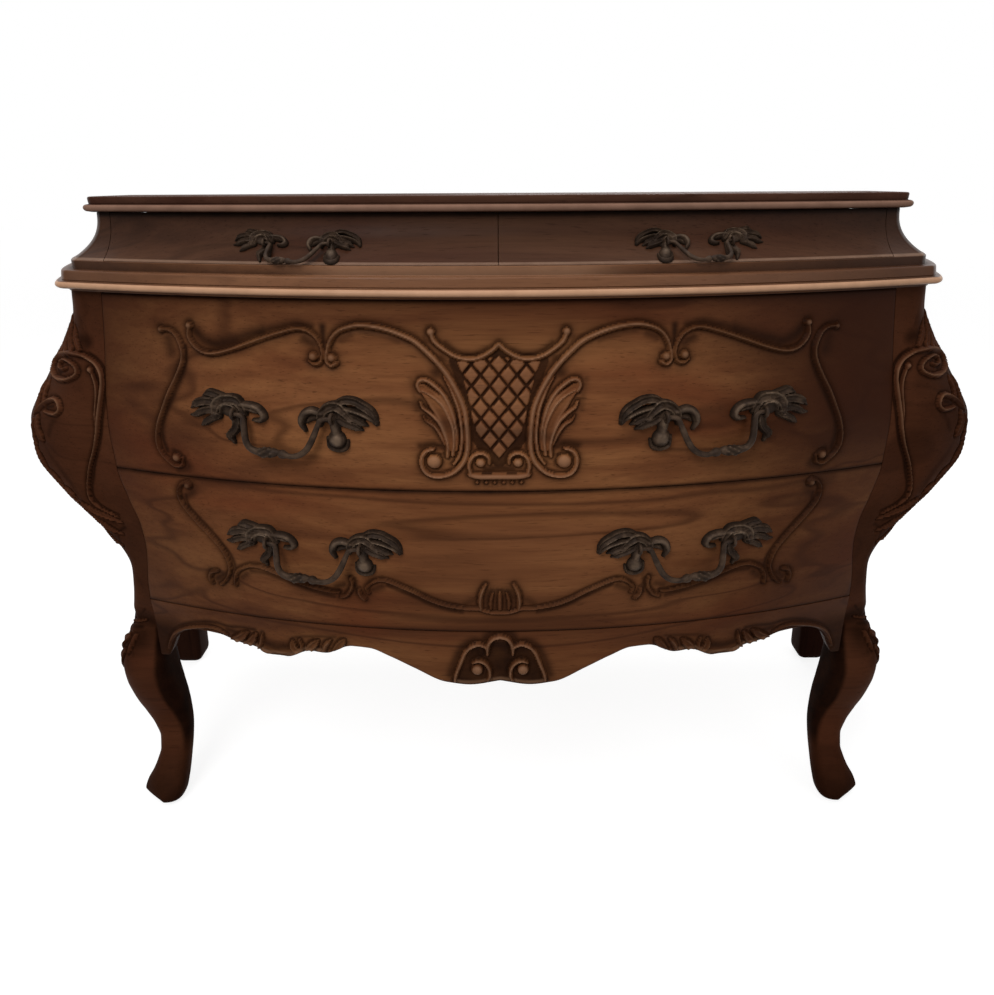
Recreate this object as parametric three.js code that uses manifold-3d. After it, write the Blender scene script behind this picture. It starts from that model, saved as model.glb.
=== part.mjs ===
// A bombe chest: two large bowed drawers under two small cove-fronted ones, on cabriole legs.
// Millimetres, +Z up, the front faces -Y, the origin is under the middle on the floor.
import * as THREE from 'three';
import { mergeVertices } from 'three/addons/utils/BufferGeometryUtils.js';
import Module from 'manifold-3d';

const wasm = await Module();
wasm.setup();

// Driving dimensions
const HEIGHT = 850;
const BACK = 292;                 // y of the back, and of the front's foremost moulding, negated
const BOW = 118 / 524 ** 2;       // how much the front falls back, per x squared
const BELLY_FRONT = -286;         // y of the swollen front on the centre line
const PANEL = 24;                 // thickness of the shaped sides and large drawer fronts
const TOP_UNDERSIDE = 833;
const FRIEZE_BOTTOM = 780;
const WAIST_BOTTOM = 746;
const DRAWER_SPLIT = 530;
const DRAWER_BOTTOM = 338;
const GLUE_GAP = 0.3;             // between pieces that are glued or rest on each other
const SEAM = 0.8;                 // around a drawer front
const REAR_POST = 60;             // width of a rear leg
const REAR_POST_FRONT = 236;      // y of a rear leg's front face
const STILE_BACK = -95;           // y where the corner block ends and the side begins

// A smooth curve through a list of [position, value] that never overshoots its points
function curve(points) {
  const last = points.length - 1;
  const run = points.slice(1).map((p, i) => p[0] - points[i][0]);
  const slope = run.map((r, i) => (points[i + 1][1] - points[i][1]) / r);
  const tangent = points.map((_, i) => {
    if (i === 0) return slope[0];
    if (i === last) return slope[last - 1];
    if (slope[i - 1] * slope[i] <= 0) return 0;
    const a = 2 * run[i] + run[i - 1];
    const b = run[i] + 2 * run[i - 1];
    return (a + b) / (a / slope[i - 1] + b / slope[i]);
  });
  return (at) => {
    const s = Math.min(Math.max(at, points[0][0]), points[last][0]);
    let i = 0;
    while (i < last - 1 && s > points[i + 1][0]) i += 1;
    const t = (s - points[i][0]) / run[i];
    const [p, q] = [points[i][1], points[i + 1][1]];
    return p * (1 + 2 * t) * (1 - t) ** 2 + tangent[i] * run[i] * t * (1 - t) ** 2
      + q * t * t * (3 - 2 * t) - tangent[i + 1] * run[i] * t * t * (1 - t);
  };
}

// The body's shape by height: half-width at the front corner, the side's swelling behind it,
// half-width at the back, the front's setback from its belly, and the large drawers' half-width
const cornerX = curve([
  [235, 529], [270, 521], [310, 507], [350, 496], [390, 490], [430, 498], [483, 521],
  [517, 522], [564, 508], [630, 489], [690, 488], [746, 498],
]);
const swell = curve([
  [235, 0], [380, 3], [430, 28], [480, 61], [530, 93], [572, 99], [600, 91], [640, 70],
  [680, 43], [715, 26], [746, 17],
]);
const rearX = curve([[0, 625], [250, 622], [340, 622], [560, 640], [746, 625]]);
const frontSet = curve([
  [235, 34], [300, 32], [340, 26], [430, 14], [530, 6], [600, 0], [680, 4], [746, 10],
]);
const drawerX = curve([
  [338, 471], [360, 469], [430, 458], [455, 460], [485, 469], [530, 479], [560, 479], [700, 465], [746, 462],
]);

// The apron's wavy lower edge, by distance from the centre line
const apronEdge = curve([
  [0, 262], [40, 256], [70, 260], [110, 279], [140, 294], [168, 305], [190, 306], [228, 292],
  [247, 293], [280, 281], [303, 281], [325, 289], [347, 292], [375, 300], [400, 301],
  [425, 296], [442, 282], [452, 263], [460, 250], [475, 247],
]);

// The frieze's cove: how far it stands out, by height
const COVE_REACH = 37;
const COVE_POWER = 2.6;
const COVE_TOP_Y = -235;
function coveOut(z) {
  const t = Math.max(0, (TOP_UNDERSIDE - z) / (TOP_UNDERSIDE - FRIEZE_BOTTOM));
  return COVE_REACH * t ** COVE_POWER;
}

// A ring holds one level's plan: corner, centre of the front, swelling and rear half-width.
// Inside, the corner never comes nearer to the drawer than a share of the stile's width
const CORNER_INSET_SHARE = 0.6;
function bodyRing(z, inset = 0) {
  const cornerInset = Math.min(inset, CORNER_INSET_SHARE * (cornerX(z) - drawerX(z)));
  return {
    corner: cornerX(z) - cornerInset,
    front: BELLY_FRONT + frontSet(z) + inset,
    swell: swell(z),
    rear: rearX(z) - inset,
  };
}

const FRIEZE_TOP = { corner: 468, front: COVE_TOP_Y, swell: 12, rear: 600 };
const FRIEZE_CORNER_SHARE = 0.3;
const FRIEZE_SIDE_SHARE = 0.74;
function friezeRing(z, inset = 0) {
  const out = coveOut(z);
  return {
    corner: FRIEZE_TOP.corner + FRIEZE_SIDE_SHARE * out - FRIEZE_CORNER_SHARE * inset,
    front: FRIEZE_TOP.front - out + inset,
    swell: FRIEZE_TOP.swell,
    rear: FRIEZE_TOP.rear + FRIEZE_SIDE_SHARE * out - inset,
  };
}

function frontY(ring, x) {
  return ring.front + BOW * x * x;
}

function sidePoint(ring, w) {
  const start = frontY(ring, ring.corner);
  const x = ring.corner + (ring.rear - ring.corner) * w * w + ring.swell * Math.sin(Math.PI * w);
  return [x, start + (BACK - start) * w * w];
}

function sideAt(ring, y) {
  const start = frontY(ring, ring.corner);
  return Math.sqrt(Math.max(0, (y - start) / (BACK - start)));
}

// Places along a side: corner block first, then the side panel up to the rear post
const BLOCK_STEPS = 5;
const SIDE_STEPS = 7;
function blockW(ring, i) {
  return sideAt(ring, STILE_BACK) * (i / BLOCK_STEPS);
}
function panelW(ring, i) {
  const from = sideAt(ring, STILE_BACK);
  return from + (sideAt(ring, REAR_POST_FRONT - GLUE_GAP) - from) * (i / SIDE_STEPS);
}

function outward(geometry) {
  const p = geometry.attributes.position;
  const index = geometry.index.array;
  const [a, b, c] = [new THREE.Vector3(), new THREE.Vector3(), new THREE.Vector3()];
  let volume = 0;
  for (let i = 0; i < index.length; i += 3) {
    a.fromBufferAttribute(p, index[i]);
    b.fromBufferAttribute(p, index[i + 1]);
    c.fromBufferAttribute(p, index[i + 2]);
    volume += a.dot(b.cross(c));
  }
  if (volume < 0) {
    for (let i = 0; i < index.length; i += 3) {
      const kept = index[i + 1];
      index[i + 1] = index[i + 2];
      index[i + 2] = kept;
    }
  }
  return geometry;
}

function fromArrays(vertices, faces) {
  const geometry = new THREE.BufferGeometry();
  geometry.setAttribute('position', new THREE.Float32BufferAttribute(vertices.flat(), 3));
  geometry.setIndex(faces.flat());
  return outward(geometry);
}

// A closed slab between two grids of points, face(i, j) and back(i, j)
function slab(columns, rows, face, back) {
  const vertices = [];
  const faces = [];
  const wide = columns + 1;
  const count = wide * (rows + 1);
  for (const side of [face, back]) {
    for (let j = 0; j <= rows; j += 1) {
      for (let i = 0; i <= columns; i += 1) vertices.push(side(i, j));
    }
  }
  const quad = (a, b, c, d) => faces.push([a, b, c], [a, c, d]);
  for (let j = 0; j < rows; j += 1) {
    for (let i = 0; i < columns; i += 1) {
      const a = j * wide + i;
      quad(a, a + 1, a + wide + 1, a + wide);
      quad(count + a, count + a + wide, count + a + wide + 1, count + a + 1);
    }
  }
  const rim = [];
  for (let i = 0; i < columns; i += 1) rim.push(i);
  for (let j = 0; j < rows; j += 1) rim.push(j * wide + columns);
  for (let i = columns; i > 0; i -= 1) rim.push(rows * wide + i);
  for (let j = rows; j > 0; j -= 1) rim.push(j * wide);
  rim.forEach((a, i) => {
    const b = rim[(i + 1) % rim.length];
    quad(a, count + a, count + b, b);
  });
  return fromArrays(vertices, faces);
}

// A closed loft through outlines of equal length, each a list of [x, y, z]
function loft(outlines) {
  const n = outlines[0].length;
  const faces = [];
  for (let k = 0; k < outlines.length - 1; k += 1) {
    for (let i = 0; i < n; i += 1) {
      const [a, b] = [k * n + i, k * n + (i + 1) % n];
      faces.push([a, b, b + n], [a, b + n, a + n]);
    }
  }
  const cap = (outline, start, along) => {
    const flat = outline.map(([x, y]) => new THREE.Vector2(x, y));
    const runs = Math.sign(THREE.ShapeUtils.area(flat)) * along;
    for (const [a, b, c] of THREE.ShapeUtils.triangulateShape(flat.map((p) => p.clone()), [])) {
      const turns = Math.sign(THREE.ShapeUtils.area([flat[a], flat[b], flat[c]]));
      faces.push(turns === runs ? [start + a, start + b, start + c] : [start + a, start + c, start + b]);
    }
  };
  cap(outlines[0], 0, -1);
  cap(outlines.at(-1), (outlines.length - 1) * n, 1);
  return fromArrays(outlines.flat(), faces);
}

function box(x0, x1, y0, y1, z0, z1) {
  const geometry = new THREE.BoxGeometry(x1 - x0, y1 - y0, z1 - z0);
  return geometry.translate((x0 + x1) / 2, (y0 + y1) / 2, (z0 + z1) / 2);
}

function toSolid(geometry) {
  const bare = geometry.clone();
  bare.deleteAttribute('normal');
  bare.deleteAttribute('uv');
  const merged = mergeVertices(bare, 1e-4);
  return new wasm.Manifold(new wasm.Mesh({
    numProp: 3,
    vertProperties: new Float32Array(merged.attributes.position.array),
    triVerts: new Uint32Array(merged.index.array),
  }));
}

function toGeometry(solid) {
  const mesh = solid.getMesh();
  const geometry = new THREE.BufferGeometry();
  geometry.setAttribute('position', new THREE.BufferAttribute(new Float32Array(mesh.vertProperties), 3));
  geometry.setIndex(new THREE.BufferAttribute(new Uint32Array(mesh.triVerts), 1));
  return geometry;
}

const chest = new THREE.Group();
const WALNUT = { color: 0x6b4529, roughness: 0.45, metalness: 0 };
const WALNUT_DARK = { color: 0x4a2c1b, roughness: 0.5, metalness: 0 };
const DRAWER_WOOD = { color: 0xa98357, roughness: 0.75, metalness: 0 };
const BRONZE = { color: 0x5a5342, roughness: 0.42, metalness: 0.9 };

function add(name, geometry, finish) {
  geometry.computeVertexNormals();
  const mesh = new THREE.Mesh(geometry, new THREE.MeshStandardMaterial(finish));
  mesh.name = name;
  chest.add(mesh);
}

const SIDES = [['left', -1], ['right', 1]];

// Boards with a moulded edge all round but the back
const BOARD_FRONT_STEPS = 16;
const BOARD_SIDE_STEPS = 9;
function boardOutline(ring, z) {
  const outline = [];
  for (let i = 0; i <= BOARD_FRONT_STEPS; i += 1) {
    const x = ring.corner * (2 * i / BOARD_FRONT_STEPS - 1);
    outline.push([x, frontY(ring, x), z]);
  }
  const side = [];
  for (let i = 1; i <= BOARD_SIDE_STEPS; i += 1) side.push(sidePoint(ring, i / BOARD_SIDE_STEPS));
  side.forEach(([x, y]) => outline.push([x, y, z]));
  side.reverse().forEach(([x, y]) => outline.push([-x, y, z]));
  return outline;
}

function mouldedBoard(base, profile) {
  return loft(profile.map(([z, out]) => boardOutline({
    corner: base.corner + out, front: base.front - out, swell: base.swell, rear: base.rear + out,
  }, z)));
}

add('top_board', mouldedBoard(FRIEZE_TOP, [
  [TOP_UNDERSIDE, 5], [834.5, 9.5], [837.5, 12], [840.5, 11.5], [842, 7], [848.5, 7], [HEIGHT, 5.5],
]), WALNUT);

const WAIST_NOSE = 20;
add('waist_board', mouldedBoard({ corner: 493, front: -BACK + WAIST_NOSE, swell: 15, rear: 625 }, [
  [WAIST_BOTTOM, 7], [749, 8], [751, 16], [755, WAIST_NOSE], [760, 19], [763, 14], [769.5, 11],
  [770, 1], [FRIEZE_BOTTOM, 1],
]), WALNUT);

// Frieze: a coved end each side, a back, and the divider between the small drawers
const SMALL_DRAWER_X = 455;
const FRIEZE_PANEL = 18;
const FRIEZE_ROWS = 9;
const FRIEZE_Z0 = FRIEZE_BOTTOM + GLUE_GAP;
const FRIEZE_Z1 = TOP_UNDERSIDE - GLUE_GAP;
function friezeZ(j, z0 = FRIEZE_Z0, z1 = FRIEZE_Z1) {
  return z0 + (z1 - z0) * (j / FRIEZE_ROWS) ** 1.5;
}
const END_FRONT_STEPS = 2;
const END_SIDE_STEPS = 9;
function friezeChain(ring, i) {
  if (i <= END_FRONT_STEPS) {
    const x = SMALL_DRAWER_X + SEAM + (ring.corner - SMALL_DRAWER_X - SEAM) * (i / END_FRONT_STEPS);
    return [x, frontY(ring, x)];
  }
  return sidePoint(ring, (i - END_FRONT_STEPS) / END_SIDE_STEPS);
}
for (const [side, sign] of SIDES) {
  const point = (inset) => (i, j) => {
    const z = friezeZ(j);
    const [x, y] = friezeChain(friezeRing(z, inset), i);
    return [sign * x, y, z];
  };
  const end = slab(END_FRONT_STEPS + END_SIDE_STEPS, FRIEZE_ROWS, point(0), point(FRIEZE_PANEL));
  add(`frieze_end_${side}`, end, WALNUT);
}
const FRIEZE_BACK_Y = 281;
const friezeBack = (y) => (i, j) => {
  const z = friezeZ(j);
  const ring = friezeRing(z, FRIEZE_PANEL);
  const reach = sidePoint(ring, sideAt(ring, FRIEZE_BACK_Y))[0] - SEAM;
  return [reach * (i - 1), y, z];
};
add('frieze_back', slab(2, FRIEZE_ROWS, friezeBack(FRIEZE_BACK_Y), friezeBack(BACK)), WALNUT_DARK);
const DIVIDER_HALF = 5;
const DIVIDER_FRONT = -212;
const divider = box(-DIVIDER_HALF, DIVIDER_HALF, DIVIDER_FRONT, FRIEZE_BACK_Y - SEAM, FRIEZE_Z0, FRIEZE_Z1);
add('frieze_divider', divider, WALNUT_DARK);

// Levels at which the shaped sides are drawn; the boards inside meet the sides on these levels
const DUST_BOARD = [DRAWER_SPLIT - 8, DRAWER_SPLIT + 7.5];
const BOTTOM_BOARD = [DRAWER_BOTTOM - 14, DRAWER_BOTTOM + 1.5];
const LOW_LEVELS = [240, 262, 290, ...BOTTOM_BOARD];
const CARCASS_TOP = WAIST_BOTTOM - GLUE_GAP;
const HIGH_LEVELS = [
  370, 400, 430, 455, 480, 503, ...DUST_BOARD, 556, 575, 595, 620, 650, 682, 714, CARCASS_TOP,
];

// Front legs: a cabriole leg and the carved corner block above it, in one piece
const legOuter = curve([
  [0, 506], [6, 523], [11, 534], [23, 531], [37, 523], [53, 516], [69, 511.5], [87, 511.5], [106, 517.5],
  [127, 526], [151, 533.5], [175, 537.5], [197, 540.5], [218, 541], [239, 539.5], [259, 532], [277, 521],
  [300, 498], [330, 486],
]);
const legInner = curve([
  [0, 481], [6, 475], [19, 472], [50, 469], [84, 466], [103, 465], [146, 466], [170, 468],
  [213, 472], [330, 475],
]);
const legFront = curve([
  [0, -160], [6, -169], [13, -172], [29, -161], [50, -146], [71, -135], [92, -129], [113, -127],
  [134, -131], [154, -139], [174, -147], [194, -153], [214, -156], [233, -155], [252, -150],
  [271, -143], [300, -134], [330, -130],
]);
const legBack = curve([
  [0, -122], [6, -114], [13, -110], [50, -96], [92, -85], [113, -81], [154, -78], [214, -78],
  [240, -86], [259, -98], [271, -101], [330, -106],
]);
const LEG_LEVELS = [0, 6, 11, 21, 34, 50, 69, 87, 106, 127, 151, 175, 197, 218, 239, 259, 277, 300, 323];
const LEG_SIDES = 12;
const LEG_SQUARENESS = 0.72;
function legOutline(z, sign) {
  const outline = [];
  const [x0, x1, y0, y1] = [legInner(z), legOuter(z), legFront(z), legBack(z)];
  for (let i = 0; i < LEG_SIDES; i += 1) {
    const angle = 2 * Math.PI * i / LEG_SIDES;
    const soften = (value) => Math.sign(value) * Math.abs(value) ** LEG_SQUARENESS;
    const x = (x0 + x1) / 2 + (x1 - x0) / 2 * soften(Math.cos(angle));
    const y = (y0 + y1) / 2 + (y1 - y0) / 2 * soften(Math.sin(angle));
    outline.push([sign * x, y, z]);
  }
  return outline;
}

const STILE_STEPS = 3;
function blockChain(z, ring, i) {
  if (i <= STILE_STEPS) {
    const edge = drawerX(z) + SEAM;
    const x = edge + (ring.corner - edge) * (i / STILE_STEPS);
    return [x, frontY(ring, x)];
  }
  return sidePoint(ring, blockW(ring, i - STILE_STEPS));
}
const BLOCK_LEVELS = [...LOW_LEVELS, ...HIGH_LEVELS];
function cornerBlock(sign) {
  const point = (inset) => (i, j) => {
    const z = BLOCK_LEVELS[j];
    const [x, y] = blockChain(z, bodyRing(z, inset), i);
    return [sign * x, y, z];
  };
  return slab(STILE_STEPS + BLOCK_STEPS, BLOCK_LEVELS.length - 1, point(0), point(PANEL));
}

// The apron under the lower drawer, one board between the legs; clearance grows it for the cut in the legs
const APRON_COLUMNS = 44;
const APRON_ROWS = 2;
const APRON_TOP = DRAWER_BOTTOM - GLUE_GAP;
function apron(clearance) {
  const place = (inset) => (i, j) => {
    const t = i / APRON_COLUMNS * 2 - 1;
    const reach = drawerX(APRON_TOP) + SEAM - GLUE_GAP + clearance;
    const x = reach * t;
    const low = apronEdge(Math.abs(x)) - clearance;
    const z = low + (APRON_TOP - low) * (j / APRON_ROWS);
    return [x, frontY(bodyRing(z), x) + inset, z];
  };
  return slab(APRON_COLUMNS, APRON_ROWS, place(-clearance), place(PANEL + clearance));
}
add('front_apron', apron(0), WALNUT);

const APRON_CLEARANCE = 0.4;
const apronCut = toSolid(apron(APRON_CLEARANCE));
for (const [side, sign] of SIDES) {
  const leg = toSolid(loft(LEG_LEVELS.map((z) => legOutline(z, sign))));
  add(`front_leg_${side}`, toGeometry(toSolid(cornerBlock(sign)).add(leg).subtract(apronCut)), WALNUT);
}

// Sides, with a shaped rail below each
const SIDE_RAIL_TOP = BOTTOM_BOARD[1];
const sideRailEdge = curve([
  [0, 265], [0.15, 274], [0.35, 290], [0.5, 283], [0.65, 290], [0.85, 280], [1, 270],
]);
for (const [side, sign] of SIDES) {
  const panelLevels = [SIDE_RAIL_TOP + GLUE_GAP, ...HIGH_LEVELS];
  const panel = (inset) => (i, j) => {
    const ring = bodyRing(panelLevels[j], inset);
    const [x, y] = sidePoint(ring, panelW(ring, i));
    return [sign * x, y + (i === 0 ? GLUE_GAP : 0), panelLevels[j]];
  };
  add(`side_panel_${side}`, slab(SIDE_STEPS, panelLevels.length - 1, panel(0), panel(PANEL)), WALNUT_DARK);
  const rail = (inset) => (i, j) => {
    const low = sideRailEdge(i / SIDE_STEPS);
    const z = j === 2 ? SIDE_RAIL_TOP : low + (BOTTOM_BOARD[0] - low) * j;
    const ring = bodyRing(z, inset);
    const [x, y] = sidePoint(ring, panelW(ring, i));
    return [sign * x, y + (i === 0 ? GLUE_GAP : 0), z];
  };
  add(`side_rail_${side}`, slab(SIDE_STEPS, 2, rail(0), rail(PANEL)), WALNUT_DARK);
}

// Rear legs run straight up to the waist
const FOOT_ROUND = 8;
for (const [side, sign] of SIDES) {
  const levels = [0, 3, FOOT_ROUND, 120, ...BLOCK_LEVELS];
  const outlines = levels.map((z) => {
    const round = z < FOOT_ROUND ? FOOT_ROUND - Math.sqrt(FOOT_ROUND ** 2 - (FOOT_ROUND - z) ** 2) : 0;
    const ring = bodyRing(Math.max(z, LOW_LEVELS[0]));
    const inner = rearX(z) - REAR_POST;
    const outerAt = (y) => sidePoint(ring, sideAt(ring, y))[0] + rearX(z) - ring.rear;
    const middle = (REAR_POST_FRONT + BACK) / 2;
    return [
      [inner + round, REAR_POST_FRONT + round], [outerAt(REAR_POST_FRONT) - round, REAR_POST_FRONT + round],
      [outerAt(middle) - round, middle], [outerAt(BACK) - round, BACK - round], [inner + round, BACK - round],
    ].map(([x, y]) => [sign * x, y, z]);
  });
  add(`rear_leg_${side}`, loft(outlines), WALNUT_DARK);
}

// The back between the rear legs
const BACK_PANEL_Y = 280;
const BACK_PANEL_LOW = 300;
const backLevels = [BACK_PANEL_LOW, ...BOTTOM_BOARD, ...HIGH_LEVELS];
const backPoint = (y) => (i, j) => {
  const reach = rearX(backLevels[j]) - REAR_POST - GLUE_GAP;
  return [reach * (i - 1), y, backLevels[j]];
};
add('back_panel', slab(2, backLevels.length - 1, backPoint(BACK_PANEL_Y), backPoint(BACK)), WALNUT_DARK);

// Boards inside, between the fronts, the sides and the rear legs
const LARGE_FRONT_COLUMNS = 18;
function innerBoard([z0, z1]) {
  const outlineAt = (z) => {
    const ring = bodyRing(z, PANEL);
    ring.front += 1;
    ring.corner -= GLUE_GAP;
    ring.rear -= GLUE_GAP;
    const outline = [];
    const reach = drawerX(z);
    for (let i = 0; i <= LARGE_FRONT_COLUMNS; i += 1) {
      const x = reach * (2 * i / LARGE_FRONT_COLUMNS - 1);
      outline.push([x, frontY(ring, x), z]);
    }
    const side = [];
    for (let i = 0; i <= BLOCK_STEPS; i += 1) side.push(sidePoint(ring, blockW(ring, i)));
    for (let i = 1; i <= SIDE_STEPS; i += 1) side.push(sidePoint(ring, panelW(ring, i)));
    side.forEach(([x, y]) => outline.push([x, y, z]));
    side.reverse().forEach(([x, y]) => outline.push([-x, y, z]));
    return outline;
  };
  return loft([outlineAt(z0), outlineAt(z1)]);
}
add('dust_board', innerBoard(DUST_BOARD), DRAWER_WOOD);
add('bottom_board', innerBoard(BOTTOM_BOARD), DRAWER_WOOD);

// Drawers. A large front is bowed and swollen, a small one is a cove with a lip
const LARGE_ROWS = 8;
const DRAWER_SIDE = 12;
const BOX_BACK = 274;
const BOX_JOINT = 0.9;
const BOTTOM_RAISE = 3;
const BOTTOM_THICK = 8;

function boxParts(name, { x0, x1, z0, z1, backOf, levels, side, columns }) {
  for (const [which, outer, inner] of [['left', x0, x0 + side], ['right', x1, x1 - side]]) {
    const wall = (x) => (i, j) => [x, i === 0 ? backOf(x, levels[j]) + BOX_JOINT : BOX_BACK, levels[j]];
    add(`${name}_side_${which}`, slab(1, levels.length - 1, wall(outer), wall(inner)), DRAWER_WOOD);
  }
  const [inner0, inner1] = [x0 + side + GLUE_GAP, x1 - side - GLUE_GAP];
  add(`${name}_back`, box(inner0, inner1, BOX_BACK - side, BOX_BACK, z0, z1), DRAWER_WOOD);
  const floorZ = z0 + BOTTOM_RAISE;
  const floor = (z) => (i, j) => {
    const x = inner0 + (inner1 - inner0) * (i / columns);
    return [x, j === 0 ? backOf(x, z) + BOX_JOINT : BOX_BACK - side - GLUE_GAP, z];
  };
  add(`${name}_bottom`, slab(columns, 1, floor(floorZ), floor(floorZ + BOTTOM_THICK)), DRAWER_WOOD);
}

function largeDrawer(name, z0, z1, boxSize) {
  const point = (inset) => (i, j) => {
    const z = z0 + (z1 - z0) * (j / LARGE_ROWS);
    const x = drawerX(z) * (2 * i / LARGE_FRONT_COLUMNS - 1);
    return [x, frontY(bodyRing(z), x) + inset, z];
  };
  add(`${name}_front`, slab(LARGE_FRONT_COLUMNS, LARGE_ROWS, point(0), point(PANEL)), WALNUT);
  const levels = [];
  const boxHeight = boxSize.z1 - boxSize.z0;
  for (let j = 0; j <= LARGE_ROWS; j += 1) levels.push(boxSize.z0 + boxHeight * (j / LARGE_ROWS));
  boxParts(name, {
    x0: -boxSize.half,
    x1: boxSize.half,
    z0: boxSize.z0,
    z1: boxSize.z1,
    levels,
    side: DRAWER_SIDE,
    columns: LARGE_FRONT_COLUMNS,
    backOf: (x, z) => frontY(bodyRing(z), x) + PANEL,
  });
}
const UPPER_BOX = { half: 452, z0: DUST_BOARD[1] + GLUE_GAP, z1: 735 };
const LOWER_BOX = { half: 446, z0: BOTTOM_BOARD[1] + GLUE_GAP, z1: 512 };
largeDrawer('upper_drawer', DRAWER_SPLIT + SEAM / 2, WAIST_BOTTOM - SEAM, UPPER_BOX);
largeDrawer('lower_drawer', DRAWER_BOTTOM + SEAM / 2, DRAWER_SPLIT - SEAM / 2, LOWER_BOX);

const SMALL_FRONT_COLUMNS = 10;
const SMALL_FRONT_BACK = COVE_TOP_Y + 20;
const SMALL_BOX_SIDE = 10;
const SMALL_Z0 = FRIEZE_BOTTOM + SEAM;
const SMALL_Z1 = TOP_UNDERSIDE - SEAM;
const SMALL_BOX_Z = [FRIEZE_BOTTOM + GLUE_GAP, TOP_UNDERSIDE - 6];
const SMALL_BOX_INSET = 8;
for (const [side, sign] of SIDES) {
  const name = `small_drawer_${side}`;
  const xAt = (i) => sign * (SEAM / 2 + (SMALL_DRAWER_X - SEAM / 2) * (i / SMALL_FRONT_COLUMNS));
  const face = (i, j) => {
    const z = friezeZ(j, SMALL_Z0, SMALL_Z1);
    return [xAt(i), frontY(friezeRing(z), xAt(i)), z];
  };
  const back = (i, j) => [xAt(i), SMALL_FRONT_BACK + BOW * xAt(i) ** 2, friezeZ(j, SMALL_Z0, SMALL_Z1)];
  add(`${name}_front`, slab(SMALL_FRONT_COLUMNS, FRIEZE_ROWS, face, back), WALNUT);
  const reach = [sign * (DIVIDER_HALF + 1), sign * (SMALL_DRAWER_X - SMALL_BOX_INSET)].sort((a, b) => a - b);
  boxParts(name, {
    x0: reach[0],
    x1: reach[1],
    z0: SMALL_BOX_Z[0],
    z1: SMALL_BOX_Z[1],
    levels: SMALL_BOX_Z,
    side: SMALL_BOX_SIDE,
    columns: SMALL_FRONT_COLUMNS,
    backOf: (x) => SMALL_FRONT_BACK + BOW * x * x,
  });
}

// Guides beside the large drawers, on the boards that carry them
const GUIDE = { play: 1, wide: 16, high: 18, front: -60 };
for (const [level, { half, z0 }] of [['upper', UPPER_BOX], ['lower', LOWER_BOX]]) {
  for (const [side, sign] of SIDES) {
    const inner = half + GUIDE.play;
    const [x0, x1] = [sign * inner, sign * (inner + GUIDE.wide)].sort((a, b) => a - b);
    const strip = box(x0, x1, GUIDE.front, REAR_POST_FRONT - GLUE_GAP, z0, z0 + GUIDE.high);
    add(`${level}_guide_${side}`, strip, DRAWER_WOOD);
  }
}

// Handles: two leafy mounts with eyes, and a bail whose pins turn in them. Spread is half the
// distance between the eyes, reach how far they stand out, eye and wire are radii, back the gap
// behind the leaf, leaf its reach by angle from the side that faces the other mount
const LARGE_HANDLE = {
  spread: 58,
  reach: 13,
  eye: 7.5,
  wire: 3,
  clearance: 0.5,
  back: 0.5,
  rise: 5,
  leaf: [[0, 38], [0.5, 30], [0.9, 26], [1.5, 29], [2.0, 30], [2.6, 40], [3.0, 50], [3.4, 44], [3.9, 27],
    [4.5, 33], [4.9, 36], [5.4, 27], [5.9, 31]],
  bail: [[61, 0], [48, 0], [43, -2], [40, -8], [38, -20], [31, -33], [20, -39], [12, -37], [0, -47]],
};
const SMALL_HANDLE = {
  spread: 37,
  reach: 9.5,
  eye: 5,
  wire: 2,
  clearance: 0.5,
  back: 2,
  rise: 3.5,
  leaf: [[0, 24], [0.6, 17], [1.0, 13], [1.5, 15], [2.0, 15], [2.6, 24], [3.0, 31], [3.4, 26], [3.9, 14],
    [4.5, 12], [4.9, 12], [5.4, 14], [5.9, 20]],
  bail: [[39, 0], [31, 0], [28, -1.5], [26, -6], [24, -13], [18, -22], [10, -26], [6, -25], [0, -30]],
};
const LEAF_SECTORS = 16;
const LEAF_RINGS = 2;
const LEAF_THINNING = 0.55;        // share of its rise that a leaf has lost at its rim

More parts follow.
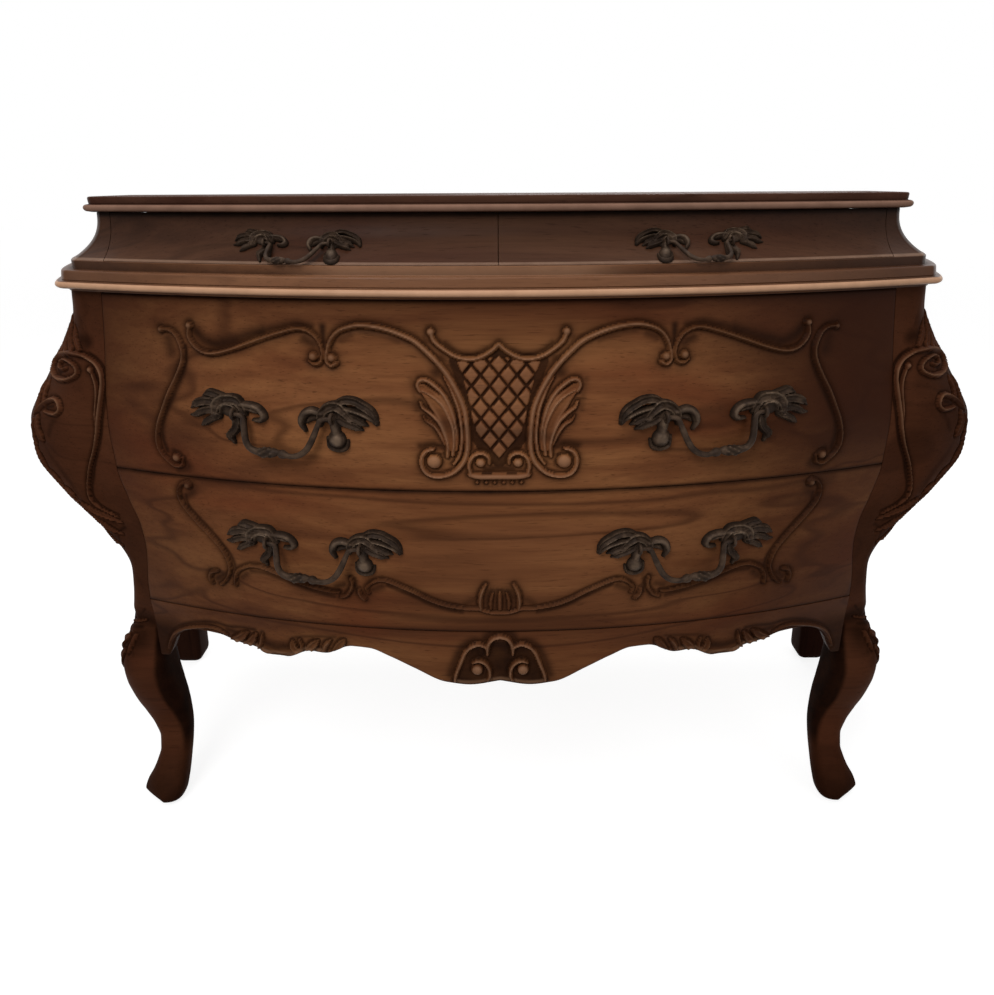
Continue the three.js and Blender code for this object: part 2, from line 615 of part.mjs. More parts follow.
function leafMount(style, mx, mz, outwardSign, surfaceY) {
  const radius = curve([...style.leaf, [2 * Math.PI, style.leaf[0][1]]]);
  const place = (ring, sector, proud) => {
    const angle = 2 * Math.PI * sector / LEAF_SECTORS;
    const reach = radius(angle) * (ring / LEAF_RINGS);
    const x = mx - outwardSign * reach * Math.cos(angle);
    const z = mz + reach * Math.sin(angle);
    return [x, surfaceY(x, z) - proud, z];
  };
  const vertices = [place(0, 0, style.back), place(0, 0, style.back + style.rise)];
  const faces = [];
  const at = (layer, ring, sector) => {
    const row = layer * LEAF_RINGS + ring - 1;
    return 2 + row * LEAF_SECTORS + sector % LEAF_SECTORS;
  };
  for (const layer of [0, 1]) {
    for (let ring = 1; ring <= LEAF_RINGS; ring += 1) {
      const rise = layer * style.rise * (1 - LEAF_THINNING * (ring / LEAF_RINGS) ** 2);
      for (let sector = 0; sector < LEAF_SECTORS; sector += 1) {
        vertices.push(place(ring, sector, style.back + rise));
      }
    }
  }
  for (let s = 0; s < LEAF_SECTORS; s += 1) {
    faces.push([0, at(0, 1, s), at(0, 1, s + 1)], [1, at(1, 1, s + 1), at(1, 1, s)]);
    for (let ring = 1; ring < LEAF_RINGS; ring += 1) {
      faces.push([at(0, ring, s), at(0, ring + 1, s), at(0, ring + 1, s + 1)]);
      faces.push([at(0, ring, s), at(0, ring + 1, s + 1), at(0, ring, s + 1)]);
      faces.push([at(1, ring, s), at(1, ring + 1, s + 1), at(1, ring + 1, s)]);
      faces.push([at(1, ring, s), at(1, ring, s + 1), at(1, ring + 1, s + 1)]);
    }
    faces.push([at(0, LEAF_RINGS, s), at(1, LEAF_RINGS, s), at(1, LEAF_RINGS, s + 1)]);
    faces.push([at(0, LEAF_RINGS, s), at(1, LEAF_RINGS, s + 1), at(0, LEAF_RINGS, s + 1)]);
  }
  return fromArrays(vertices, faces);
}

const WIRE_SIDES = 6;
const BAIL_STEPS = 28;
// A bail's path lies in the plane of the two eyes; lean swings it forward of the plumb line
function bailGeometry(style, lean) {
  const half = style.bail.map(([x, z]) => new THREE.Vector3(x, z * Math.sin(lean), z * Math.cos(lean)));
  const other = half.slice(0, -1).reverse().map((p) => new THREE.Vector3(-p.x, p.y, p.z));
  const path = new THREE.CatmullRomCurve3([...half, ...other], false, 'centripetal');
  const section = new THREE.Shape();
  for (let i = 0; i < WIRE_SIDES; i += 1) {
    const angle = 2 * Math.PI * i / WIRE_SIDES;
    const [x, y] = [style.wire * Math.cos(angle), style.wire * Math.sin(angle)];
    if (i === 0) section.moveTo(x, y);
    else section.lineTo(x, y);
  }
  return new THREE.ExtrudeGeometry(section, { steps: BAIL_STEPS, bevelEnabled: false, extrudePath: path });
}

// Both eyes lie on one line, which is the bail's axis; a stem joins each to its leaf
const STEM_TOP = 0.85;
const STEM_FOOT = 0.72;
const STEM_SUNK = 1;
function handle(name, style, hx, hz, surfaceY, lean) {
  const ends = [-1, 1].map((end) => hx + end * style.spread);
  const [y0, y1] = ends.map((x) => surfaceY(x, hz) - style.back - style.reach);
  const turn = Math.atan2(y1 - y0, ends[1] - ends[0]);
  for (const [which, end] of [['left', -1], ['right', 1]]) {
    const mx = ends[(end + 1) / 2];
    const my = surfaceY(mx, hz) - style.back;
    const leaf = toSolid(leafMount(style, mx, hz, end, surfaceY));
    const stemLength = style.reach - STEM_SUNK;
    const stem = new THREE.CylinderGeometry(style.eye * STEM_TOP, style.eye * STEM_FOOT, stemLength, 8);
    stem.rotateX(Math.PI / 2).translate(mx, my - (style.reach + STEM_SUNK) / 2, hz);
    const ball = new THREE.SphereGeometry(style.eye, 8, 6).translate(mx, my - style.reach, hz);
    const boreRadius = style.wire + style.clearance;
    const bore = new THREE.CylinderGeometry(boreRadius, boreRadius, 4 * style.eye, 10);
    bore.rotateZ(Math.PI / 2).rotateZ(turn).translate(mx, my - style.reach, hz);
    const mount = leaf.add(toSolid(stem)).add(toSolid(ball)).subtract(toSolid(bore));
    add(`${name}_mount_${which}`, toGeometry(mount), BRONZE);
  }
  add(`${name}_bail`, bailGeometry(style, lean).rotateZ(turn).translate(hx, (y0 + y1) / 2, hz), BRONZE);
}

const bodySurface = (x, z) => frontY(bodyRing(z), x);
const coveSurface = (x, z) => frontY(friezeRing(z), x);
const COVE_LEAN = THREE.MathUtils.degToRad(52);
const UPPER_HANDLE_AT = [243, 618];
const LOWER_HANDLE_AT = [223, 457];
const SMALL_HANDLE_AT = [219, 802];
for (const [side, sign] of SIDES) {
  const place = ([x, z]) => [sign * x, z];
  handle(`upper_handle_${side}`, LARGE_HANDLE, ...place(UPPER_HANDLE_AT), bodySurface, 0);
  handle(`lower_handle_${side}`, LARGE_HANDLE, ...place(LOWER_HANDLE_AT), bodySurface, 0);
  handle(`small_handle_${side}`, SMALL_HANDLE, ...place(SMALL_HANDLE_AT), coveSurface, COVE_LEAN);
}

export default chest;
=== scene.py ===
import math

import bmesh
import bpy
import numpy as np
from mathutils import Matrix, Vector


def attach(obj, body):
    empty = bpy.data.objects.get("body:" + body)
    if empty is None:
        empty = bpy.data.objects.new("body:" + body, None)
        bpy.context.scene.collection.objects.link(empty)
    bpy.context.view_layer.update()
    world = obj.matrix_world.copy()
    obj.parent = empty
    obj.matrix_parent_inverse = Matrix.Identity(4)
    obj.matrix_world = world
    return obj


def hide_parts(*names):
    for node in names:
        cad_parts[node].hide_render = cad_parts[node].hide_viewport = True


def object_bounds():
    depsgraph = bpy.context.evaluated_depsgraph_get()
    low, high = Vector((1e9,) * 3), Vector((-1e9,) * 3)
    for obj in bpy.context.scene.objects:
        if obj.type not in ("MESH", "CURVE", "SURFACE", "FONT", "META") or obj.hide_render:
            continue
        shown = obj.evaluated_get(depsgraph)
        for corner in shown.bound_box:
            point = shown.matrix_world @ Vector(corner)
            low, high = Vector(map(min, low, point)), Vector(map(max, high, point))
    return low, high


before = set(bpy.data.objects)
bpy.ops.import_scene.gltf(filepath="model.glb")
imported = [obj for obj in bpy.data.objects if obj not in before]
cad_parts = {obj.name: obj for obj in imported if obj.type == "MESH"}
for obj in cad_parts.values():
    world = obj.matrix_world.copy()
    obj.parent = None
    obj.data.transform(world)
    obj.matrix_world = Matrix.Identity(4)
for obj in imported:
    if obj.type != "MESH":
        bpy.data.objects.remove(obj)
cad_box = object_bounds()
cad_low, cad_high = (np.array(corner) for corner in cad_box)

# The chest's driving dimensions, in millimetres, as the frame has them
MM = 0.001
HEIGHT = 850
BACK = 292
BOW = 118 / 524 ** 2
BELLY_FRONT = -286
PANEL = 24
TOP_UNDERSIDE = 833
FRIEZE_BOTTOM = 780
WAIST_BOTTOM = 746
DRAWER_SPLIT = 530
DRAWER_BOTTOM = 338
SEAM = 0.8
REAR_POST = 60
REAR_POST_FRONT = 236
STILE_BACK = -95
COVE_TOP_Y = -235
SMALL_DRAWER_X = 455
SMALL_FRONT = 20
COVE_REACH = 37
COVE_SIDE_SHARE = 0.74
COVE_INSET_SHARE = 0.3
ROUNDING = 9.0
# A board's plan: half-width at its corner, front on the centre line, swelling, half-width at the back
TOP_PLAN = (468, COVE_TOP_Y, 12, 600)
WAIST_PLAN = (493, -272, 15, 625)
SIDES = (("left", -1), ("right", 1))


# Curves and surfaces of the body
def curve(*points):
    """A smooth curve through its points that never overshoots them."""
    at = np.array([p[0] for p in points], float)
    value = np.array([p[1] for p in points], float)
    run = np.diff(at)
    slope = np.diff(value) / run
    tangent = np.zeros(len(at))
    tangent[0], tangent[-1] = slope[0], slope[-1]
    for i in range(1, len(at) - 1):
        if slope[i - 1] * slope[i] > 0:
            a, b = 2 * run[i] + run[i - 1], run[i] + 2 * run[i - 1]
            tangent[i] = (a + b) / (a / slope[i - 1] + b / slope[i])

    def look_up(where):
        s = np.clip(np.asarray(where, float), at[0], at[-1])
        i = np.clip(np.searchsorted(at, s, side="right") - 1, 0, len(run) - 1)
        t = (s - at[i]) / run[i]
        left, right = 1 - t, t
        return (value[i] * (1 + 2 * t) * left ** 2 + tangent[i] * run[i] * t * left ** 2
                + value[i + 1] * right ** 2 * (3 - 2 * t) - tangent[i + 1] * run[i] * right ** 2 * left)
    return look_up


# Against height: the corner's x, the side's swelling, the back's x, the front's setback, the drawers' ends
corner_x = curve((235, 529), (270, 521), (310, 507), (350, 496), (390, 490), (430, 498), (483, 521),
                 (517, 522), (564, 508), (630, 489), (690, 488), (746, 498))
swell = curve((235, 0), (380, 3), (430, 28), (480, 61), (530, 93), (572, 99), (600, 91), (640, 70),
              (680, 43), (715, 26), (746, 17))
rear_x = curve((0, 625), (250, 622), (340, 622), (560, 640), (746, 625))
front_set = curve((235, 34), (300, 32), (340, 26), (430, 14), (530, 6), (600, 0), (680, 4), (746, 10))
drawer_x = curve((338, 471), (360, 469), (430, 458), (455, 460), (485, 469), (530, 479), (560, 479),
                 (700, 465), (746, 462))
# The apron's lower edge against x, and a side rail's against its length
apron_edge = curve((0, 262), (40, 256), (70, 260), (110, 279), (140, 294), (168, 305), (190, 306),
                   (228, 292), (247, 293), (280, 281), (303, 281), (325, 289), (347, 292), (375, 300),
                   (400, 301), (425, 296), (442, 282), (452, 263), (460, 250), (475, 247))
side_rail_edge = curve((0, 265), (0.15, 274), (0.35, 290), (0.5, 283), (0.65, 290), (0.85, 280), (1, 270))


def cove_out(z):
    """How far the cove stands out at a height."""
    t = np.clip((TOP_UNDERSIDE - z) / (TOP_UNDERSIDE - FRIEZE_BOTTOM), 0, 1)
    return COVE_REACH * t ** 2.6


def body_ring(z, inset=0.0):
    """Plan of the body at one height."""
    return (corner_x(z) - np.minimum(inset, 0.6 * (corner_x(z) - drawer_x(z))),
            BELLY_FRONT + front_set(z) + inset, swell(z), rear_x(z) - inset)


def frieze_ring(z, inset=0.0):
    """Plan of the frieze at one height."""
    corner, front, bulge, rear = TOP_PLAN
    out = cove_out(z)
    sideways = COVE_SIDE_SHARE * out
    return corner + sideways - COVE_INSET_SHARE * inset, front - out + inset, bulge, rear + sideways - inset


def front_y(ring, x):
    """The bowed front of a plan."""
    return ring[1] + BOW * x * x


def side_point(ring, w):
    """A point of a plan's side at a share w of the way back."""
    start = front_y(ring, ring[0])
    x = ring[0] + (ring[3] - ring[0]) * w * w + ring[2] * np.sin(np.pi * w)
    return x, start + (BACK - start) * w * w


def side_at(ring, y):
    """The share of the way back at a depth."""
    start = front_y(ring, ring[0])
    return np.sqrt(np.clip((y - start) / (BACK - start), 0, 1))


def belly_y(x, z):
    return front_y(body_ring(z), x)


def cove_y(x, z):
    return front_y(frieze_ring(z), x)


def belly_back(x, z):
    return belly_y(x, z) + PANEL


def cove_back(x, z):
    return COVE_TOP_Y + SMALL_FRONT + BOW * x * x


def sheet(surface, x, z):
    """Points of a surface that gives y for x and z."""
    return np.stack([x, surface(x, z), z], -1)


# Carving: tapered strokes of the gouge, laid on a surface as (across, up) in millimetres
def rise(value, start, run):
    """0 up to start, growing to 1 over the run; a negative run falls instead."""
    return np.clip((value - start) / run, 0, 1)


def to_segment(x, z, start, stop):
    """Distance to a straight segment, and the share of its length where it is nearest."""
    dx, dz = stop[0] - start[0], stop[1] - start[1]
    t = np.clip(((x - start[0]) * dx + (z - start[1]) * dz) / (dx * dx + dz * dz), 0, 1)
    return np.hypot(x - start[0] - t * dx, z - start[1] - t * dz), t


def eased(points, step=2.5):
    """A polyline through the points, rounded between them."""
    p = np.array(points, float)
    if len(p) < 3:
        return p
    p = np.vstack([2 * p[0] - p[1], p, 2 * p[-1] - p[-2]])
    rows = []
    for k in range(1, len(p) - 2):
        a, b, c, d = p[k - 1:k + 3]
        count = max(2, int(np.hypot(*(c - b)[:2]) / step))
        t = (np.arange(count) / count)[:, None]
        rows.append(0.5 * (2 * b + (c - a) * t + (2 * a - 5 * b + 4 * c - d) * t ** 2
                           + (3 * b - a - 3 * c + d) * t ** 3))
    rows.append(p[-2:-1])
    return np.vstack(rows)


class Stroke:
    """One raised stroke along a line. Its section is a ridge, a rounded bead, or a dished leaf."""

    def __init__(self, line, widths, heights, section):
        self.line = line
        self.widths = widths
        self.heights = heights
        self.section = section


def ridge(points, width=3.6, height=5.0, taper=(0.7, 0.7), section="ridge"):
    """Half-width and height are those at the stroke's thickest; each end tapers to a share."""
    line = eased(points)
    along = np.linspace(0, 1, len(line))
    swellings = np.interp(along, [0, 0.25, 0.7, 1], [taper[0], 1, 1, taper[1]])
    return Stroke(line, np.maximum(width * swellings, 0.4), height * swellings ** 0.6, section)


def bead(points, width=3.6, height=5.0, taper=(0.7, 0.7)):
    return ridge(points, width, height, taper, "bead")


def leaf(points, width, height=4.5, taper=(0.8, 0.3)):
    """A leaf's lobe, with raised rims and a hollow between them."""
    return ridge(points, width, height, taper, "leaf")


def knob(centre, radius, height):
    line = np.array([centre, centre], float)
    line[1, 0] += 0.01
    return Stroke(line, np.array([radius, radius]), np.array([height, height]), "bead")


def mirrored(strokes):
    return [Stroke(s.line * np.array([-1, 1]), s.widths, s.heights, s.section) for s in strokes]


def section_height(section, t):
    """Share of a stroke's height at a share t of its half-width."""
    if section == "ridge":
        return np.clip(1 - np.sqrt(t * t + 0.03) + 0.17, 0, 1) ** 1.15
    if section == "leaf":
        return (0.42 + 0.58 * np.clip(t / 0.72, 0, 1) ** 2) * np.clip(1 - t ** 7, 0, 1) ** 0.7
    return np.clip(1 - t ** 2.2, 0, 1) ** 0.7


def carve(strokes, across, up, groove=1.3):
    """Relief height, and distance to the nearest stroke's edge, at each point of a surface."""
    height = np.zeros(across.shape)
    gap = np.full(across.shape, 60.0)
    for s in strokes:
        line = s.line
        reach = s.widths.max() + 20
        near = ((across > line[:, 0].min() - reach) & (across < line[:, 0].max() + reach)
                & (up > line[:, 1].min() - reach) & (up < line[:, 1].max() + reach))
        if not near.any():
            continue
        x, z = across[near], up[near]
        nearest = np.full(x.shape, 1e9)
        width, peak = np.ones(x.shape), np.zeros(x.shape)
        for k in range(len(line) - 1):
            d, t = to_segment(x, z, line[k], line[k + 1])
            w = s.widths[k] + (s.widths[k + 1] - s.widths[k]) * t
            closer = d / w < nearest
            nearest = np.where(closer, d / w, nearest)
            width = np.where(closer, w, width)
            peak = np.where(closer, s.heights[k] + (s.heights[k + 1] - s.heights[k]) * t, peak)
        height[near] = np.maximum(height[near], peak * section_height(s.section, nearest))
        gap[near] = np.minimum(gap[near], (nearest - 1) * width)
    cut = groove * np.exp(-((gap - 1.4) / 1.5) ** 2)
    return np.where(gap < 0, height, -cut), gap


def inside(polygon, x, z):
    """Distance inside a polygon's edge, negative outside."""
    p = np.array(polygon, float)
    q = np.roll(p, -1, axis=0)
    odd = np.zeros(x.shape, bool)
    far = np.full(x.shape, 1e9)
    for a, b in zip(p, q):
        if a[1] != b[1]:
            odd ^= ((a[1] > z) != (b[1] > z)) & (x < (b[0] - a[0]) * (z - a[1]) / (b[1] - a[1]) + a[0])
        far = np.minimum(far, to_segment(x, z, a, b)[0])
    return np.where(odd, far, -far)


def shade(lines, across, up, mirror=True):
    """Painted shade along lines, each with its reach and its strength: shadows beside the carving and dark
    patches round it.
    """
    dark = np.zeros(across.shape)
    for points, reach, strength in lines:
        for flip in ((1, -1) if mirror else (1,)):
            line = eased(points) * np.array([flip, 1])
            middle, half = line.mean(axis=0), np.ptp(line, axis=0) / 2 + 3 * reach
            near = (np.abs(across - middle[0]) < half[0]) & (np.abs(up - middle[1]) < half[1])
            x, z = across[near], up[near]
            far = np.full(x.shape, 1e9)
            for start, stop in zip(line[:-1], line[1:]):
                far = np.minimum(far, to_segment(x, z, start, stop)[0])
            dark[near] = np.maximum(dark[near], strength * np.exp(-(far / reach) ** 2))
    return dark


# The upper drawer's carving, right half drawn, left half mirrored
UPPER_RIGHT = [
    knob((386, 707), 3.8, 4.2),
    ridge([(387, 707), (376, 707), (368, 702), (363, 692), (361, 681), (364, 669), (374, 651),
           (385, 634), (395, 615), (404, 597), (409, 581), (410, 568), (406, 557), (399, 549)], 2.9, 4.4,
          (0.8, 0.8)),
    ridge([(399, 549), (390, 543), (381, 546), (379, 554)], 2.2, 4.0, (0.9, 0.6)),
    knob((387, 555), 6.0, 5.0),
    knob((349, 713), 4.4, 5.0),
    ridge([(349, 712), (351, 702), (347, 693), (339, 686), (329, 683), (316, 684), (298, 689),
           (278, 696), (258, 703), (239, 709), (223, 713), (211, 712), (201, 706), (195, 697),
           (193, 688)], 2.8, 4.6, (0.9, 0.8)),
    ridge([(193, 688), (195, 679), (202, 675), (210, 679)], 2.2, 4.0, (0.9, 0.5)),
    knob((204, 684), 5.2, 5.2),
    knob((183, 683), 5.2, 5.2),
    ridge([(178, 677), (184, 674), (189, 680), (187, 692), (183, 702), (176, 710), (166, 715),
           (152, 718), (136, 717), (121, 714), (106, 709), (91, 702), (79, 692), (68, 681), (58, 669),
           (50, 656), (43, 642), (38, 628), (36, 614), (35, 600), (35, 586), (38, 572), (44, 562),
           (53, 554), (64, 550), (75, 550), (83, 554), (87, 562), (87, 572), (82, 580), (74, 583)], 3.4,
          6.0, (0.7, 0.7)),
    ridge([(60, 664), (53, 652), (48, 640), (44, 628), (42, 614), (41, 600), (42, 586), (45, 574),
           (51, 565)], 2.4, 5.2, (0.4, 0.7)),
    knob((73, 568), 8.6, 6.8),
    # The leaf beside the stem: raised rims round dished lobes
    leaf([(51, 585), (54, 606), (61, 624), (72, 640), (84, 652)], 9.5, 3.2, (0.6, 0.5)),
    ridge([(52, 576), (50, 592), (51, 608), (56, 622), (63, 634), (73, 643), (84, 649)], 2.8, 5.4,
          (0.8, 0.6)),
    ridge([(47, 600), (49, 616), (54, 632), (61, 645), (70, 654), (79, 660), (86, 660), (89, 654),
           (86, 648)], 2.8, 5.2, (0.6, 0.8)),
    ridge([(58, 574), (57, 588), (61, 603), (67, 615), (76, 624), (84, 630), (86, 636)], 2.8, 5.0,
          (0.8, 0.6)),
    ridge([(60, 588), (65, 600), (72, 610), (80, 615), (83, 620)], 2.4, 4.0, (0.6, 0.4)),
    # The fringe over the lattice
    ridge([(73, 711), (70, 703), (64, 697), (57, 692), (49, 687), (40, 684), (29, 683), (18, 686),
           (8, 692), (0, 699)], 2.8, 5.2, (1.0, 0.9)),
    knob((73, 712), 4.4, 5.8),
    # The base scroll
    knob((21, 567), 5.6, 5.4),
    ridge([(32, 553), (34, 562), (32, 571), (26, 577), (18, 578), (12, 573), (11, 565)], 2.5, 5.0,
          (0.9, 0.6)),
    bead([(33, 552), (22, 550), (0, 550)], 3.8, 4.4, (0.8, 1)),
    *[knob((x, 542), 1.9, 1.4) for x in (5, 15, 25)],
]
UPPER_CARVING = UPPER_RIGHT + mirrored(UPPER_RIGHT)
# Painted shade beside the upper drawer's carving: each line, its reach and its strength
UPPER_SHADES = [
    ([(343, 708), (334, 699), (320, 694), (304, 697), (280, 704), (260, 710)], 8, 0.95),
    ([(258, 711), (238, 716), (222, 719), (205, 716)], 5.5, 0.85),
    ([(213, 703), (203, 697)], 7, 0.85),
    ([(192, 716), (192, 694)], 5, 1.0),
    ([(378, 698), (375, 682)], 9, 0.7),
    ([(357, 690), (360, 668), (371, 646), (389, 616), (399, 596), (402, 578), (399, 562)], 4.2, 0.95),
    ([(408, 600), (416, 578), (412, 556)], 5, 0.5),
    ([(390, 562), (374, 545), (388, 538)], 6, 0.8),
    ([(172, 704), (162, 709)], 6, 0.7),
    ([(150, 712), (125, 708), (108, 702)], 4, 0.6),
    ([(62, 683), (68, 669), (60, 674)], 9, 0.8),
    ([(62, 585), (74, 589), (88, 586)], 5, 0.85),
    ([(45, 602), (47, 622), (52, 638)], 2.4, 0.9),
    ([(54, 598), (60, 614), (70, 630), (80, 640)], 3.0, 0.7),
    ([(12, 694), (28, 689), (44, 691), (58, 700)], 4.5, 0.8),
    ([(80, 706), (78, 694)], 5, 0.6),
    ([(6, 572), (16, 586), (24, 600), (28, 616)], 6, 0.95),
    ([(0, 560), (16, 559)], 6, 0.9),
    ([(36, 640), (44, 664), (52, 678)], 6, 0.8),
    ([(0, 690), (14, 686)], 4, 0.8),
    ([(66, 562), (66, 576)], 3, 0.9),
    ([(8, 544), (28, 543)], 3, 0.5),
    ([(95, 660), (92, 645), (90, 628)], 5, 0.5),
]
LATTICE_FIELD = [(0, 688), (-13, 684), (-29, 681), (-46, 682), (-40, 664), (-35, 645), (-32, 628),
                 (-29, 612), (-24, 598), (-16, 586), (-8, 576), (0, 569), (8, 576), (16, 586), (24, 598),
                 (29, 612), (32, 628), (35, 645), (40, 664), (46, 682), (29, 681), (13, 684)]
LATTICE_WIDE = 20.0
LATTICE_TALL = 24.0
LATTICE_LOW = 618.0


def lattice(x, z):
    """Crossed grooves that leave small cushioned diamonds."""
    depth = inside(LATTICE_FIELD, x, z)
    slants = [np.abs((x / LATTICE_WIDE + way * (z - LATTICE_LOW) / LATTICE_TALL) % 1 - 0.5) * 2
              for way in (1, -1)]
    nearest = np.maximum(slants[0], slants[1])
    pillow = 3.0 * np.clip(1 - (nearest / 0.86) ** 5, 0, 1) ** 0.6 - 0.9
    return np.where(depth > 0, pillow * np.clip(depth / 2, 0, 1), -99), depth


# The lower drawer's carving
LOWER_RIGHT = [
    knob((379, 519), 5.0, 4.6),
    ridge([(379, 524), (388, 519), (394, 509), (392, 496), (384, 483), (370, 466), (356, 450),
           (345, 435), (340, 421), (339, 409), (343, 398), (349, 389), (356, 383)], 2.5, 4.0, (0.7, 0.8)),
    ridge([(368, 383), (370, 391), (366, 400), (358, 402)], 2.6, 4.2, (0.7, 0.8)),
    ridge([(335, 385), (334, 396), (329, 406), (319, 413), (306, 417), (292, 415), (274, 409),
           (252, 401), (230, 394), (209, 390), (198, 390)], 2.4, 4.0, (0.9, 0.8)),
    ridge([(182, 412), (180, 403), (183, 394), (189, 386), (196, 383)], 2.4, 4.4, (0.7, 0.8)),
    ridge([(173, 396), (171, 388), (166, 382)], 2.6, 4.6, (0.7, 0.9)),
    ridge([(161, 391), (163, 398), (156, 406), (145, 411), (134, 409), (120, 403), (103, 395), (87, 386),
           (70, 379), (52, 375), (38, 373), (25, 373)], 2.4, 4.0, (0.8, 0.8)),
    ridge([(23, 373), (24, 384), (22, 397), (17, 408)], 3.0, 4.8, (0.8, 0.7)),
    ridge([(11, 373), (11, 385), (8, 397)], 2.2, 2.8, (0.8, 0.5)),
    ridge([(25, 372), (12, 368), (0, 367)], 2.2, 3.4, (0.8, 1)),
]
LOWER_CARVING = LOWER_RIGHT + mirrored(LOWER_RIGHT) + [
    bead([(0, 373), (0, 385), (0, 397)], 2.6, 2.8, (0.9, 0.6)),
]
# Painted shade beside the lower drawer's carving: each line, its reach and its strength
LOWER_SHADES = [
    ([(384, 505), (383, 491), (370, 475), (356, 459), (343, 441), (334, 425), (332, 410), (337, 396)],
     3.4, 0.9),
    ([(374, 512), (386, 500)], 6, 0.6),
    ([(351, 398), (360, 391)], 6, 0.85),
    ([(325, 397), (317, 404)], 6, 0.75),
    ([(311, 409), (291, 408), (271, 402), (249, 394), (225, 387), (205, 383)], 4, 0.85),
    ([(177, 410), (176, 390)], 4.5, 0.95),
    ([(191, 401), (201, 398)], 5, 0.7),
    ([(155, 397), (143, 402)], 6, 0.8),
    ([(137, 404), (119, 396), (102, 388), (86, 379), (66, 372), (46, 368)], 3.6, 0.9),
    ([(12, 398), (12, 376)], 9, 0.85),
    ([(3, 400), (3, 374)], 5, 0.8),
    ([(32, 386), (42, 380)], 6, 0.6),
]

# The apron's shell, and the rims and leaves that run along its edge towards the knees
APRON_RIGHT = [
    ridge([(0, 332), (8, 329), (14, 321), (16, 311), (16, 303)], 3.0, 5.6, (1, 0.6)),
    ridge([(16, 312), (20, 317), (28, 319), (37, 315), (44, 306), (48, 296), (52, 285), (56, 274),
           (58, 264)], 2.9, 5.6, (0.8, 0.8)),
    knob((29, 281), 7.6, 6.8),
    ridge([(35, 291), (27, 294), (19, 290), (14, 282), (13, 272), (16, 265)], 2.8, 5.2),
    # The rim's roll and its leaves
    ridge([(457, 262), (451, 276), (442, 289), (429, 298), (414, 304), (398, 308), (384, 310),
           (372, 308), (362, 303)], 2.7, 3.8, (0.7, 0.6)),
    leaf([(353, 296), (342, 302), (331, 311)], 5.2, 4.4, (0.8, 0.4)),
    leaf([(336, 291), (327, 298), (319, 310)], 5.0, 4.6, (0.8, 0.4)),
    ridge([(318, 289), (313, 299), (310, 312)], 2.6, 4.6, (0.8, 0.5)),
    ridge([(315, 286), (301, 281), (287, 279), (273, 282), (263, 289), (257, 299), (259, 310)], 3.0, 4.6,
          (0.7, 0.6)),
    leaf([(257, 289), (267, 296), (269, 307)], 5.0, 4.6, (0.8, 0.4)),
    leaf([(248, 293), (244, 301), (234, 311)], 5.2, 4.8, (0.8, 0.4)),
    ridge([(227, 297), (224, 306), (217, 314)], 3.4, 4.4, (0.8, 0.5)),
    leaf([(212, 299), (205, 308), (198, 317)], 4.8, 4.0),
]
APRON_CARVING = APRON_RIGHT + mirrored(APRON_RIGHT)
# Painted shade beside the apron's carving: each line, its reach and its strength
APRON_SHADES = [
    ([(0, 340), (14, 336), (22, 325), (34, 325), (46, 317), (54, 302), (60, 286), (64, 272)], 6, 0.8),
    ([(466, 272), (454, 289), (436, 302), (416, 311), (395, 317), (375, 319), (357, 316), (338, 318),
      (320, 317)], 3.6, 0.9),
    ([(360, 311), (346, 308)], 6, 0.85),
    ([(306, 298), (292, 295), (277, 297)], 8, 0.9),
    ([(258, 296), (253, 304)], 4, 0.8),
    ([(239, 297), (234, 303)], 4, 0.95),
    ([(224, 303), (215, 299)], 4, 0.8),
    ([(268, 312), (250, 316), (232, 318), (210, 320)], 3.4, 0.65),
    ([(326, 296), (332, 302)], 2.5, 0.8),
    ([(448, 268), (436, 284)], 6, 0.7),
]

